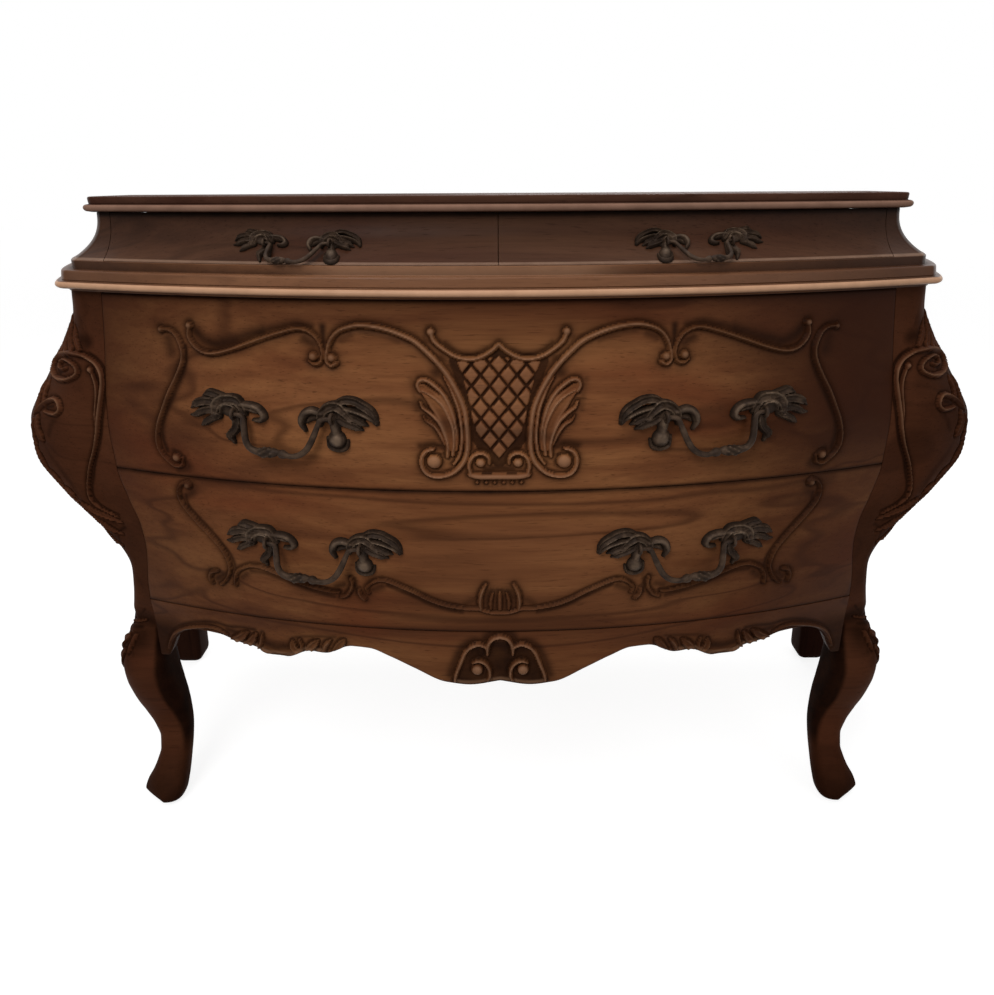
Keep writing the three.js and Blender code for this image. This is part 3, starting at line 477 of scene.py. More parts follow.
# The corner's carving: distance round the corner (front negative, side positive) and height
CORNER_CARVING = [
    ridge([(45, 653), (54, 650), (64, 651), (66, 656), (56, 661), (41, 661), (28, 658), (22, 652),
           (27, 645), (44, 639), (66, 638), (88, 643), (97, 652), (84, 662), (60, 668), (36, 671),
           (14, 671), (3, 667), (-7, 661), (-13, 652), (-14, 641), (-11, 630), (-8, 617), (-7, 604),
           (-7, 591), (-8, 577), (-6, 557), (-3, 538), (2, 518), (8, 500), (10, 484), (5, 472),
           (-6, 465), (-20, 460)], 3.0, 5.4, (0.6, 0.5)),
    knob((3, 654), 4.2, 5.0),
    ridge([(4, 655), (0, 648), (-3, 638), (-3, 627), (-2, 614), (-2, 602), (-4, 588), (-6, 574)], 2.4,
          4.6, (0.9, 0.3)),
    leaf([(18, 678), (25, 690), (28, 704)], 5.0, 2.8),
    leaf([(37, 677), (47, 694), (48, 713)], 7.6, 3.6),
    ridge([(37, 679), (46, 693), (48, 707)], 1.8, 4.2, (0.8, 0.3)),
    leaf([(60, 674), (74, 689), (78, 708)], 7.8, 3.6),
    ridge([(60, 676), (73, 689), (77, 702)], 1.8, 4.2, (0.8, 0.3)),
    leaf([(80, 670), (96, 682), (101, 699)], 7.0, 3.4),
    leaf([(98, 658), (114, 664), (124, 676)], 5.6, 3.0),
    ridge([(116, 585), (102, 597), (89, 605), (76, 611), (62, 613), (54, 608), (52, 601), (58, 595),
           (70, 594), (84, 595)], 3.2, 5.0, (0.5, 0.7)),
    leaf([(112, 594), (121, 610), (120, 628)], 6.6, 3.4),
    leaf([(96, 606), (100, 619), (95, 632)], 5.6, 3.2),
    leaf([(102, 583), (94, 567), (80, 555)], 6.4, 3.8),
    leaf([(116, 576), (112, 558), (100, 546)], 5.6, 3.4),
    ridge([(120, 566), (104, 542), (86, 517), (68, 494), (52, 474), (38, 460)], 3.2, 4.0, (0.4, 0.6)),
    leaf([(100, 532), (90, 529), (78, 518)], 3.8, 3.2),
    leaf([(82, 509), (70, 507), (58, 497)], 3.8, 3.2),
    leaf([(60, 486), (49, 486), (38, 478)], 3.8, 3.2),
    leaf([(30, 470), (12, 462), (-4, 457), (-20, 452)], 4.0, 3.6, (0.9, 0.3)),
    leaf([(44, 458), (24, 448), (6, 440), (-8, 435)], 4.2, 3.6, (0.9, 0.3)),
    leaf([(58, 446), (38, 432), (20, 422), (3, 417)], 4.4, 3.6),
    leaf([(72, 436), (54, 420), (38, 408)], 4.2, 3.2),
    # The knee's scroll and lobes
    ridge([(-20, 297), (-8, 293), (6, 288), (22, 279), (40, 267), (58, 252)], 2.2, 2.8, (0.6, 0.6)),
    bead([(-9, 270), (-8, 258), (-6, 245)], 3.4, 3.4, (0.9, 0.5)),
    leaf([(4, 266), (18, 254), (32, 240), (42, 222)], 5.6, 3.4),
    leaf([(2, 248), (10, 236), (18, 222), (22, 208)], 4.4, 2.8),
    leaf([(28, 270), (44, 256), (58, 240)], 4.8, 3.0),
    knob((22, 212), 2.8, 2.2),
]
# Painted shade beside the corner's carving: each line, its reach and its strength
CORNER_SHADES = [
    ([(2, 674), (-10, 667), (-18, 658), (-20, 648), (-19, 636), (-16, 622), (-13, 604), (-13, 590),
      (-14, 574), (-12, 555), (-9, 536), (-4, 516), (3, 498), (4, 484), (-2, 474), (-12, 468),
      (-26, 464)], 3.2, 0.95),
    ([(0, 520), (9, 500), (14, 484), (12, 470)], 4, 0.85),
    ([(40, 663), (58, 662)], 4, 0.95),
    ([(26, 661), (18, 652)], 4, 0.8),
    ([(60, 645), (74, 650), (66, 657)], 5, 0.95),
    ([(56, 592), (64, 580), (68, 566)], 9, 0.7),
    ([(66, 604), (84, 600)], 3.5, 0.9),
    ([(110, 640), (118, 620), (116, 604)], 9, 0.75),
    ([(4, 688), (30, 692), (60, 694), (100, 688)], 12, 0.85),
    ([(14, 704), (60, 708)], 8, 0.6),
    ([(24, 634), (60, 624), (104, 612)], 16, 0.4),
    ([(30, 695), (90, 690)], 22, 0.45),
    ([(78, 548), (65, 536), (48, 520), (38, 501), (30, 482)], 9, 0.6),
    ([(120, 570), (104, 540)], 8, 0.6),
    ([(-21, 446), (-9, 440), (2, 430), (4, 414)], 4, 0.9),
    ([(34, 458), (18, 442), (14, 426)], 10, 0.7),
    ([(12, 452), (-8, 448)], 3.5, 0.85),
    ([(28, 434), (6, 428)], 3.5, 0.85),
    ([(-14, 284), (6, 280), (26, 270), (46, 256)], 6.5, 0.92),
    ([(-20, 318), (-15, 310), (-10, 303)], 4.5, 0.9),
    ([(0, 256), (14, 242)], 4, 0.8),
    ([(-16, 262), (-14, 244)], 6, 0.6),
    ([(-22, 300), (0, 296), (30, 280)], 24, 0.9),
    ([(-16, 268), (14, 250), (40, 230)], 24, 0.86),
    ([(-2, 232), (14, 216)], 14, 0.5),
]


# Meshes
def in_scene(name, data):
    thing = bpy.data.objects.new(name, data)
    bpy.context.scene.collection.objects.link(thing)
    return thing


def pick(piece):
    bpy.ops.object.select_all(action="DESELECT")
    piece.select_set(True)
    bpy.context.view_layer.objects.active = piece


def select_faces(mesh, wanted):
    """Selects faces in edit mode by a test of each."""
    made = bmesh.from_edit_mesh(mesh)
    for face in made.faces:
        face.select_set(bool(wanted(face)))
    bmesh.update_edit_mesh(mesh)


def mark_points(mesh, **marks):
    """A value for each point under each name; the finishes read hollow and crest."""
    for name, values in marks.items():
        layer = mesh.attributes.new(name=name, type="FLOAT", domain="POINT")
        layer.data.foreach_set("value", np.asarray(values, np.float32))


def finish_mesh(name, vertices, faces, body, finish, angle=34.0, marks=None):
    """A new piece from its points in millimetres, with its normals out and its creases kept."""
    mesh = bpy.data.meshes.new(name)
    vertices = np.clip(np.asarray(vertices, float) * MM, cad_low, cad_high)
    mesh.from_pydata(vertices.tolist(), [], faces)
    mark_points(mesh, **(marks or {}))
    piece = in_scene(name, mesh)
    made = bmesh.new()
    made.from_mesh(mesh)
    bmesh.ops.recalc_face_normals(made, faces=made.faces)
    made.to_mesh(mesh)
    made.free()
    dress(piece, body, finish, angle)
    return piece


def points_of(piece):
    flat = np.empty(len(piece.data.vertices) * 3)
    piece.data.vertices.foreach_get("co", flat)
    return flat.reshape(-1, 3)


def dress(piece, body, finish, angle=34.0):
    """Smooths a piece, gives it its finish, and says what it rides on."""
    pick(piece)
    bpy.ops.object.shade_smooth_by_angle(angle=math.radians(angle))
    piece.data.materials.clear()
    piece.data.materials.append(FINISHES[finish].material)
    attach(piece, body)


def normals_of(grid):
    """Unit normals of a grid of points, turned away from the chest's middle."""
    across = np.gradient(grid, axis=1)
    up = np.gradient(grid, axis=0)
    n = np.cross(across, up)
    n /= np.linalg.norm(n, axis=2, keepdims=True) + 1e-12
    middle = grid - np.array([0, 60, 0])
    outward = np.sign(np.nansum(n[..., :2] * middle[..., :2], axis=2).sum())
    return n * outward


def shell(face, back):
    """Points and faces of a closed board between a fine face and a coarser back, equal in columns."""
    rows, columns = face.shape[0] - 1, face.shape[1] - 1
    back_rows = back.shape[0] - 1
    start = face.shape[0] * face.shape[1]
    front_at = np.arange(start).reshape(rows + 1, columns + 1)
    back_at = start + np.arange(back.shape[0] * back.shape[1]).reshape(back_rows + 1, columns + 1)

    def quads(at):
        return np.stack([at[:-1, :-1], at[:-1, 1:], at[1:, 1:], at[1:, :-1]], -1).reshape(-1, 4)
    faces = quads(front_at).tolist() + quads(back_at)[:, ::-1].tolist()
    for front_row, back_row in ((front_at[0], back_at[0]), (front_at[-1], back_at[-1])):
        faces += np.stack([front_row[:-1], front_row[1:], back_row[1:], back_row[:-1]], -1).tolist()
    for column in (0, -1):
        faces.append(front_at[:, column].tolist() + back_at[::-1, column].tolist())
    return np.vstack([face.reshape(-1, 3), back.reshape(-1, 3)]), faces


def stain_and_shade(height, gap, dark=0.0, kept=0.0):
    """Painted shade and old staining beside the raised work and in its hollows, and what the work keeps
    itself.
    """
    near = np.clip(gap, 0, None)
    beside = 0.62 * np.exp(-(near / 2.8) ** 1.4) + 0.38 * np.exp(-(near / 8.0) ** 1.5)
    return np.where(height > 0.6, np.maximum(0.3 * dark, kept), np.maximum(beside, dark))


def carved_board(name, face, back, height, gap, body, finish, node=None, angle=40.0, dark=0.0, worn_and_lit=0.0,
                 rubbed_and_lit=1.0, kept=0.0, behind=0.0):
    """A board whose face carries a relief; its marks give staining and painted shade, wear and painted
    highlights.
    """
    raised = face + normals_of(face) * height[..., None]
    vertices, faces = shell(raised, back)
    spare = np.zeros(back.shape[0] * back.shape[1])
    marks = {
        "hollow": np.concatenate([stain_and_shade(height, gap, dark, kept).ravel(), spare + behind]),
        "crest": np.concatenate([np.maximum(np.clip(height / 4.8, 0, 1) * rubbed_and_lit, worn_and_lit).ravel(), spare]),
    }
    piece = finish_mesh(name, vertices, faces, body, finish, angle, marks)
    if node:
        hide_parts(node)
    return piece


def eased_edge(distance, reach, depth):
    """How much a board's edge is worn down within a reach."""
    return depth * np.clip(1 - distance / reach, 0, 1) ** 2


def dense(start, stop, step, centre=None, fine=None):
    """Positions from start to stop, closer together within a distance of the middle."""
    if centre is None:
        return np.linspace(start, stop, max(2, int(round((stop - start) / step)) + 1))
    outer = max(2, int(round((stop - centre) / step)))
    inner = int(round(2 * centre / fine))
    right = np.linspace(centre, stop, outer + 1)[1:]
    return np.concatenate([-right[::-1], np.linspace(-centre, centre, inner + 1), right])


# Finishes
class Number:
    """A shader socket that adds, multiplies and compares like a number."""

    def __init__(self, recipe, socket):
        self.recipe = recipe
        self.socket = socket

    def of(self, operation, *values):
        return self.recipe.node("Math", {"operation": operation}, dict(enumerate(values))).out(0)

    def __add__(self, other):
        return self.of("ADD", self, other)

    def __radd__(self, other):
        return self.of("ADD", other, self)

    def __sub__(self, other):
        return self.of("SUBTRACT", self, other)

    def __rsub__(self, other):
        return self.of("SUBTRACT", other, self)

    def __mul__(self, other):
        return self.of("MULTIPLY", self, other)

    def __rmul__(self, other):
        return self.of("MULTIPLY", other, self)

    def over(self, low, high):
        """0 below low, 1 above high, smooth between."""
        settings = {"interpolation_type": "SMOOTHSTEP"}
        return self.recipe.node("MapRange", settings, {0: self, 1: low, 2: high, 3: 0.0, 4: 1.0}).out(0)


class Made:
    def __init__(self, recipe, node):
        self.recipe = recipe
        self.node = node

    def out(self, key):
        return Number(self.recipe, self.node.outputs[key])


class Recipe:
    """One finish: its material, and the name of the slot that it belongs to."""

    def __init__(self, name, slot):
        self.slot = slot
        self.material = bpy.data.materials.new(name)
        self.material.use_nodes = True
        self.tree = self.material.node_tree
        self.shader = self.tree.nodes["Principled BSDF"]
        self.place = self.node("TexCoord", {}, {}).out("Object")

    def node(self, kind, settings, values):
        node = self.tree.nodes.new("ShaderNode" + kind)
        for key, value in settings.items():
            setattr(node, key, value)
        for key, value in values.items():
            self.put(node.inputs[key], value)
        return Made(self, node)

    def put(self, socket, value):
        if isinstance(value, Number):
            self.tree.links.new(value.socket, socket)
        else:
            socket.default_value = value

    def stretched(self, scale, shift=(0, 0, 0)):
        return self.node("Mapping", {}, {"Vector": self.place, "Scale": scale, "Location": shift}).out(0)

    def noise(self, vector, scale, detail=4.0, rough=0.55, distort=0.0):
        values = {"Vector": vector, "Scale": scale, "Detail": detail, "Roughness": rough,
                  "Distortion": distort}
        return self.node("TexNoise", {}, values).out(0)

    def mix(self, share, first, second, blend="MIX"):
        made = self.node("Mix", {"data_type": "RGBA", "blend_type": blend}, {0: share})
        self.put(made.node.inputs[6], first)
        self.put(made.node.inputs[7], second)
        return made.out(2)

    def ramp(self, share, stops):
        made = self.node("ValToRGB", {}, {0: share})
        band = made.node.color_ramp
        while len(band.elements) < len(stops):
            band.elements.new(0.5)
        for element, (position, colour) in zip(band.elements, stops):
            element.position = position
            element.color = (*colour, 1)
        return made.out(0)

    def mark(self, name):
        return self.node("Attribute", {"attribute_name": name}, {}).out("Fac")

    def bump(self, height, strength, distance, under=None):
        values = {"Height": height, "Strength": strength, "Distance": distance}
        if under is not None:
            values["Normal"] = under
        return self.node("Bump", {}, values).out(0)

    def set(self, **values):
        for key, value in values.items():
            self.put(self.shader.inputs[key.replace("_", " ")], value)


def rgb(red, green, blue):
    """A colour as a screen shows it, turned to the light it stands for."""
    def light(c):
        c /= 255
        return c / 12.92 if c <= 0.04045 else ((c + 0.055) / 1.055) ** 2.4
    return light(red), light(green), light(blue)


def deeper(tone, share):
    return (*[c * share for c in tone], 1)


def walnut(name, slot, tones, along=0, gloss=0.36, seed=0.0, coat=0.03, contrast=1.0, shaded=0.0,
           sheen=0.16, worn_and_lit=0.5, bare_and_lit=(158, 118, 90), ends=(0.20, 0.50), deep=0.45):
    """Walnut with figure, streaks, pores and knots.

    along is the grain's axis; shaded is the strength of the painted shade towards the ends, the foot and
    the top, ends the distances from the middle where it starts and is full, and deep its share at the foot;
    bare is the colour of wood bared by wear and of painted highlights on the crests, and worn how much of
    it shows.
    """
    r = Recipe(name, slot)
    drift = (seed, seed * 1.7, -seed)

    def lengthways(fine, long):
        way = [fine, fine, fine]
        way[along] = long
        return way
    figure = r.noise(r.stretched(lengthways(5.5, 0.8), shift=drift), 1.0, 2.0, 0.5, 1.1)
    streaks = r.noise(r.stretched(lengthways(38.0, 1.5), shift=drift), 1.0, 4.0, 0.55, 0.5)
    fibres = r.noise(r.stretched(lengthways(260.0, 9.0), shift=drift), 1.0, 2.0, 0.6)
    pores = r.noise(r.stretched(lengthways(700.0, 26.0)), 1.0, 1.0, 0.5).over(0.62, 0.74)
    lines = r.noise(r.stretched(lengthways(11.0, 0.55), shift=(seed * 3, 0.4, seed)), 1.0, 2.0, 0.5, 0.3)
    tone = (figure * 0.6 + streaks * 0.4 - 0.5) * (1.9 * contrast) + 0.5
    dark, mid, light = tones
    colour = r.ramp(tone.over(0.0, 1.0), [(0.0, dark), (0.5, mid), (1.0, light)])
    cloud = r.noise(r.stretched(lengthways(7.0, 2.2), shift=(seed, -seed, 2.0)), 1.0, 2.0, 0.5, 0.6)
    reddish = (mid[0] * 0.86, mid[1] * 0.62, mid[2] * 0.6, 1)
    yellowish = (mid[0] * 1.3, mid[1] * 1.4, mid[2] * 1.5, 1)
    colour = r.mix(cloud.over(0.5, 0.72) * 0.5 * contrast, colour, reddish)
    colour = r.mix((1 - cloud.over(0.3, 0.5)) * 0.3 * contrast, colour, yellowish)
    vein = lines.over(0.49, 0.515) - lines.over(0.515, 0.55)
    colour = r.mix(vein * 0.42 * contrast, colour, deeper(dark, 0.5))
    knots = r.noise(r.stretched(lengthways(9.0, 3.4), shift=(seed * 2, 1.3, 0.7)), 1.0, 1.0, 0.4)
    knots = knots.over(0.74, 0.80)
    colour = r.mix(knots * 0.7 * contrast, colour, deeper(dark, 0.35))
    colour = r.mix(fibres.over(0.35, 0.75) * 0.22, colour, deeper(dark, 0.7))
    colour = r.mix(pores * 0.40, colour, deeper(dark, 0.4))
    # Painted shade: darker towards the ends, more on the right, and towards the foot and the top of the
    # front
    if shaded:
        spot = r.node("SeparateXYZ", {}, {0: r.place})
        sideways = r.node("Math", {"operation": "ABSOLUTE"}, {0: spot.out(0) + 0.07}).out(0)
        edge = (sideways + 0.16 * (figure - 0.5)).over(*ends)
        low = 1 - (spot.out(2) + 0.06 * (figure - 0.5)).over(0.20, 0.56)
        high = (spot.out(2) + 0.05 * (figure - 0.5)).over(0.66, 0.745)
        edge = edge * (0.66 + 0.34 * spot.out(2).over(0.48, 0.60))
        painted_shade = 1 - (1 - edge * shaded) * (1 - low * shaded * deep) * (1 - high * shaded * 0.5)
        colour = r.mix(painted_shade, colour, (dark[0] * 0.34, dark[1] * 0.27, dark[2] * 0.22, 1))
    hollow, crest = r.mark("hollow"), r.mark("crest")
    smoke = r.noise(r.place, 42.0, 3.0, 0.6)
    # The hollow mark darkens: old staining, and painted shade in recesses and on faces turned from the
    # light
    colour = r.mix(hollow * (0.66 + 0.5 * smoke), colour, deeper(dark, 0.16))
    # The crest mark lightens: wear, and painted highlights on noses and ridges
    rub_and_highlight = crest.over(0.35, 1.0) * (worn_and_lit + 0.5 * (smoke - 0.5))
    colour = r.mix(rub_and_highlight, colour, (*rgb(*bare_and_lit), 1))
    blotch = r.noise(r.stretched((5, 5, 5), shift=drift), 1.0, 4.0, 0.6)
    rough = gloss + 0.14 * blotch.over(0.35, 0.7) + hollow * 0.22 + pores * 0.12
    relief = fibres * 0.30 - pores * 0.6 + streaks * 0.15
    r.set(Base_Color=colour, Roughness=rough, Normal=r.bump(relief, 0.25, 0.0004), Coat_Weight=coat,
          Coat_Roughness=0.25, IOR=1.45, Specular_IOR_Level=sheen)
    return r


def antique_bronze(name, slot):
    """Cast bronze, nearly black in its hollows, bright with wear on its high parts."""
    r = Recipe(name, slot)
    clouds = r.noise(r.place, 70.0, 5.0, 0.6, 0.4)
    grains = r.noise(r.place, 900.0, 3.0, 0.6)
    crest, hollow = r.mark("crest"), r.mark("hollow")
    colour = r.ramp(clouds.over(0.3, 0.7), [(0.0, rgb(40, 29, 22)), (0.5, rgb(56, 42, 32)),
                                            (1.0, rgb(76, 59, 46))])
    rub_and_highlight = (crest * (0.45 + clouds * 0.9)).over(0.35, 0.95)
    colour = r.mix(rub_and_highlight * 0.5, colour, (*rgb(120, 100, 82), 1))
    colour = r.mix(hollow * 0.85, colour, (*rgb(26, 18, 12), 1))
    rough = 0.5 - rub_and_highlight * 0.12 + hollow * 0.2 + grains * 0.1
    r.set(Base_Color=colour, Metallic=0.15 + rub_and_highlight * 0.25, Roughness=rough, Specular_IOR_Level=0.1,
          Normal=r.bump(grains * 0.5 + clouds * 0.8, 0.5, 0.0005))
    return r


# Tones of each part: the sides and stiles are set darker and the mouldings lighter than the fronts, as
# painted shade and painted light
WALNUT_TONES = (rgb(81, 46, 28), rgb(119, 73, 44), rgb(150, 99, 61))
STILE_TONES = (rgb(63, 35, 21), rgb(84, 48, 30), rgb(99, 59, 38))
DARK_TONES = (rgb(36, 19, 13), rgb(53, 29, 19), rgb(69, 40, 27))
FRIEZE_TONES = (rgb(46, 28, 19), rgb(68, 43, 30), rgb(86, 58, 41))
TOP_TONES = (rgb(46, 29, 21), rgb(68, 44, 34), rgb(84, 56, 43))
TRIM_TONES = (rgb(104, 66, 42), rgb(140, 94, 64), rgb(166, 116, 82))
OAK_TONES = (rgb(120, 86, 54), rgb(158, 119, 79), rgb(182, 146, 103))
FINISHES = {
    "front": walnut("figured walnut", "walnut", WALNUT_TONES, 0, gloss=0.4, seed=0.3, shaded=0.96,
                    contrast=1.35, coat=0.0, sheen=0.045),
    "stile": walnut("upright walnut", "walnut", STILE_TONES, 0, gloss=0.5, seed=1.9, contrast=0.6,
                    shaded=0.6, coat=0.0, sheen=0.02, ends=(0.50, 0.73), deep=0.3),
    "frieze": walnut("frieze walnut", "walnut", FRIEZE_TONES, 0, seed=4.1, contrast=0.8, coat=0.0,
                     sheen=0.06, bare_and_lit=(150, 120, 100)),
    "trim": walnut("moulding walnut", "walnut", TRIM_TONES, 0, gloss=0.3, seed=2.2, contrast=0.7,
                   shaded=0.9, sheen=0.1, worn_and_lit=0.85, bare_and_lit=(196, 152, 120), ends=(0.16, 0.60)),
    "top": walnut("top walnut", "walnut", TOP_TONES, 0, gloss=0.45, seed=3.1, worn_and_lit=0.62, coat=0.0,
                  sheen=0.02, bare_and_lit=(150, 116, 98)),
    "side": walnut("side walnut", "walnut_side", DARK_TONES, 2, gloss=0.5, seed=5.2, contrast=0.8, coat=0.0,
                   sheen=0.02),
    "back": walnut("back walnut", "walnut_side", DARK_TONES, 0, gloss=0.6, seed=6.3, coat=0.0),
    "oak": walnut("drawer oak", "drawer_wood", OAK_TONES, 1, gloss=0.6, seed=7.4, coat=0.0),
    "oak_across": walnut("drawer oak across", "drawer_wood", OAK_TONES, 0, gloss=0.6, seed=8.5, coat=0.0),
    "bronze": antique_bronze("antique bronze", "bronze"),
}


# Large drawer fronts
FRONT_STEP = 1.45


def large_front(name, z0, z1, strokes, shades, body, node, field=None):
    """A bowed front with its carving; field is the ground pattern of its middle."""
    z = dense(z0, z1, FRONT_STEP)[:, None]
    share = dense(-1, 1, 1.75 / 470, 125 / 470, 1.15 / 470)[None, :]
    x = (drawer_x(z) + 0.5) * share
    z = np.broadcast_to(z, x.shape)
    face = sheet(belly_y, x, z)
    height, gap = carve(strokes, x, z)
    if field:
        pillow, depth = field(x, z)
        height = np.where((depth > 0) & (height <= 0), pillow, height)
        gap = np.where((depth > 0) & (pillow < 0.5), 0.0, gap)
        gap = np.minimum(gap, np.where((depth <= 0) & (depth > -8), 0.5, gap))
    border = np.minimum(z - z0, z1 - z)
    end = drawer_x(z) + 0.5 - np.abs(x)
    height = height * np.clip(np.minimum(border, end) / 3, 0, 1)
    height = height - eased_edge(border, 1.6, 0.9) - eased_edge(end, 1.0, 0.3)
    back_z = np.linspace(z0, z1, 11)[:, None]
    back_x = (drawer_x(back_z) + 0.5) * share
    back = sheet(belly_back, back_x, np.broadcast_to(back_z, back_x.shape))
    # Painted shade along the gaps round the front, strongest at its top and bottom edges
    seam = np.maximum(0.98 * np.exp(-(border / 3.2) ** 2), 0.4 * np.exp(-(end / 2.0) ** 2))
    dark = np.maximum(shade(shades, x, z), seam)
    # Lattice cushions lighten with wear and painted highlights; away from the middle, ridges show fewer
    # highlights and are darker themselves
    cushion = 0.62 * ((depth > 1) & (pillow > 0.9)) if field else 0.0
    if field:
        outer = np.interp(np.abs(x), (100, 190), (0, 1))
    else:
        outer = np.interp(np.abs(x), (20, 60), (0.7, 1.3))
    return carved_board(name, face, back, height, gap, body, "front", node, dark=dark, worn_and_lit=cushion,
                        rubbed_and_lit=1 - 0.25 * outer, kept=0.42 * outer)


large_front("upper_front", DRAWER_SPLIT + SEAM / 2, WAIST_BOTTOM - SEAM, UPPER_CARVING, UPPER_SHADES,
            "upper_drawer", "upper_drawer_front", lattice)
large_front("lower_front", DRAWER_BOTTOM + SEAM / 2, DRAWER_SPLIT - SEAM / 2, LOWER_CARVING, LOWER_SHADES,
            "lower_drawer", "lower_drawer_front")

# Apron, with its wavy edge rounded over
APRON_TOP = DRAWER_BOTTOM - 0.3
SHELL_MIDDLE = 290


def apron_board():
    """The apron: columns that run from its wavy edge up to the drawer."""
    reach = float(drawer_x(APRON_TOP)) + SEAM - 0.3
    x = dense(-reach, reach, 1.6)[None, :]
    low = apron_edge(np.abs(x))
    share = np.linspace(0, 1, 49)[:, None] ** 1.1
    z = low + (APRON_TOP - low) * share
    x = np.broadcast_to(x, z.shape)
    face = sheet(belly_y, x, z)
    height, gap = carve(APRON_CARVING, x, z)
    edge = z - low
    height = height * np.clip(edge / 2.5, 0.25, 1) - eased_edge(edge, 4.0, 2.2)
    dished = np.exp(-(((np.abs(x) + 0.5 * (z - 300)) / 44) ** 6 + ((z - SHELL_MIDDLE) / 35) ** 6))
    height = np.where(height < 1.0, height - 2.2 * dished, height)
    # Painted shade beside the carving and in the dished shell
    dark = np.maximum(shade(APRON_SHADES, x, z), 0.95 * np.clip(dished * 1.6, 0, 1))
    # A painted highlight, with wear, along the rim's roll
    rim = 0.8 * np.clip(1 - np.abs(edge - 4.5) / 5, 0, 1) ** 0.5
    rim *= (np.abs(x) > 225) & (np.abs(x) < 350) | (np.abs(x) < 60)
    # Darker at the ends, low down by the knees
    dark = np.maximum(dark, 0.92 * rise(np.abs(x), 418, 20) * rise(z, 325, -30))
    back_share = np.linspace(0, 1, 5)[:, None]
    back_z = low + (APRON_TOP - low) * back_share
    back_x = np.broadcast_to(x[:1], back_z.shape)
    back = sheet(belly_back, back_x, back_z)
    beyond = np.interp(np.abs(x), (64, 110), (0, 1))
    # The back is painted dark as shade
    return carved_board("apron", face, back, height, gap, "carcass", "front", "front_apron", dark=dark,
                        worn_and_lit=rim, rubbed_and_lit=1 - 0.25 * beyond, kept=0.4 * beyond, behind=0.9)


apron_board()

# Corner blocks and sides: one surface that runs from the drawer's edge round to the rear leg
STILE_STEPS = 24


def wrap(z, inset=0.0):
    """The body's plan at one height as distance round the corner, x and y."""
    ring = body_ring(z, inset)
    edge = float(drawer_x(z)) + SEAM
    w = np.linspace(0, 1, 241)
    side_x, side_y = side_point(ring, w)
    stile = np.linspace(edge, float(ring[0]), STILE_STEPS + 1)[:-1]
    x = np.concatenate([stile, side_x])
    y = np.concatenate([front_y(ring, stile), side_y])
    s = np.concatenate([[0], np.cumsum(np.hypot(np.diff(x), np.diff(y)))])
    return s - s[STILE_STEPS], x, y


def softened(values, at, soft, s):
    """Values along a line, averaged within the softness either way, which rounds its corners."""
    return np.mean([np.interp(at + soft * k, s, values) for k in np.linspace(-1, 1, 9)], axis=0)


def at_depth(s, y, depth):
    """Distance round the corner where the side reaches a depth."""
    return float(np.interp(depth, y[STILE_STEPS:], s[STILE_STEPS:]))


def wrapped_grid(levels, columns, first, last, inset=0.0, round_over=ROUNDING):
    """Points over the side between two depths, and their distance round the corner."""
    grid, where = [], []
    for z in levels:
        s, x, y = wrap(z, inset)
        a, b = at_depth(s, y, first), at_depth(s, y, last)
        at = a + (b - a) * columns
        soft = round_over * np.clip(np.minimum(at - s[0], b + 30 - at) / round_over, 0, 1)
        grid.append(np.stack([softened(x, at, soft, s), softened(y, at, soft, s),
                              np.full(len(at), z)], -1))
        where.append(at)
    return np.array(grid), np.array(where)


BOARD_GAP = 0.3
TOP_OF_CORNER = WAIST_BOTTOM - BOARD_GAP
SIDE_LEVELS = dense(DRAWER_BOTTOM + 1.8, TOP_OF_CORNER, 2.4)
SIDE_FROM = STILE_BACK + BOARD_GAP
SIDE_TO = REAR_POST_FRONT - BOARD_GAP
for side, sign in SIDES:
    flip = np.array([sign, 1, 1])
    columns = np.linspace(0, 1, 150)
    face, where = wrapped_grid(SIDE_LEVELS, columns, SIDE_FROM, SIDE_TO)
    back, _ = wrapped_grid(SIDE_LEVELS[::17], columns, SIDE_FROM, SIDE_TO, PANEL, 1.0)
    height, gap = carve(CORNER_CARVING, where, face[..., 2])
    # Painted shade beside the side's carving
    dark = shade(CORNER_SHADES, where, face[..., 2], False)
    carved_board(f"side_{side}", face * flip, back * flip, height, gap, "carcass", "side",
                 f"side_panel_{side}", dark=dark, rubbed_and_lit=0.4)

# Front corners, each in one piece with its cabriole leg
leg_outer = curve((0, 509), (6, 524), (11, 534), (23, 531), (37, 523), (53, 516), (69, 511.5),
                  (87, 511.5), (106, 517.5), (127, 526), (151, 533.5), (175, 537.5), (197, 540.5),
                  (218, 541), (239, 539.5), (259, 532), (277, 521), (300, 498), (330, 486))
leg_inner = curve((0, 481), (6, 475), (19, 472), (50, 469), (84, 466), (103, 465), (146, 466),
                  (170, 468), (213, 472), (330, 475))
leg_front = curve((0, -160), (6, -169), (13, -172), (29, -161), (50, -146), (71, -135), (92, -129),
                  (113, -127), (134, -131), (154, -139), (174, -147), (194, -153), (214, -156),
                  (233, -155), (252, -150), (271, -143), (300, -134), (330, -130))
leg_back = curve((0, -122), (6, -114), (13, -110), (50, -96), (92, -85), (113, -81), (154, -78),
                 (214, -78), (240, -84), (259, -90), (271, -93), (330, -95))
# Where the leg's front edge runs, and how flat its inner front face is
leg_edge = curve((0, 499), (30, 496), (60, 487), (95, 485), (130, 491), (170, 498), (210, 499),
                 (240, 496), (330, 494))
leg_bevel = curve((0, 0.75), (40, 0.8), (75, 0.8), (110, 0.66), (230, 0.56), (270, 0.7), (330, 0.9))
# How straight the toe is cut between its tip and its front
leg_toe = curve((0, 1.9), (13, 1.8), (30, 1.25), (60, 0.82), (330, 0.82))
STILE_COLUMNS = 30
CHEEK_COLUMNS = 64
INNER_COLUMNS = 22


def resampled(x, y, count):
    """Points at equal distances along a line, both ends included."""
    run = np.concatenate([[0], np.cumsum(np.hypot(np.diff(x), np.diff(y)))])
    at = np.linspace(0, run[-1], count)
    return np.stack([np.interp(at, run, x), np.interp(at, run, y)], -1)


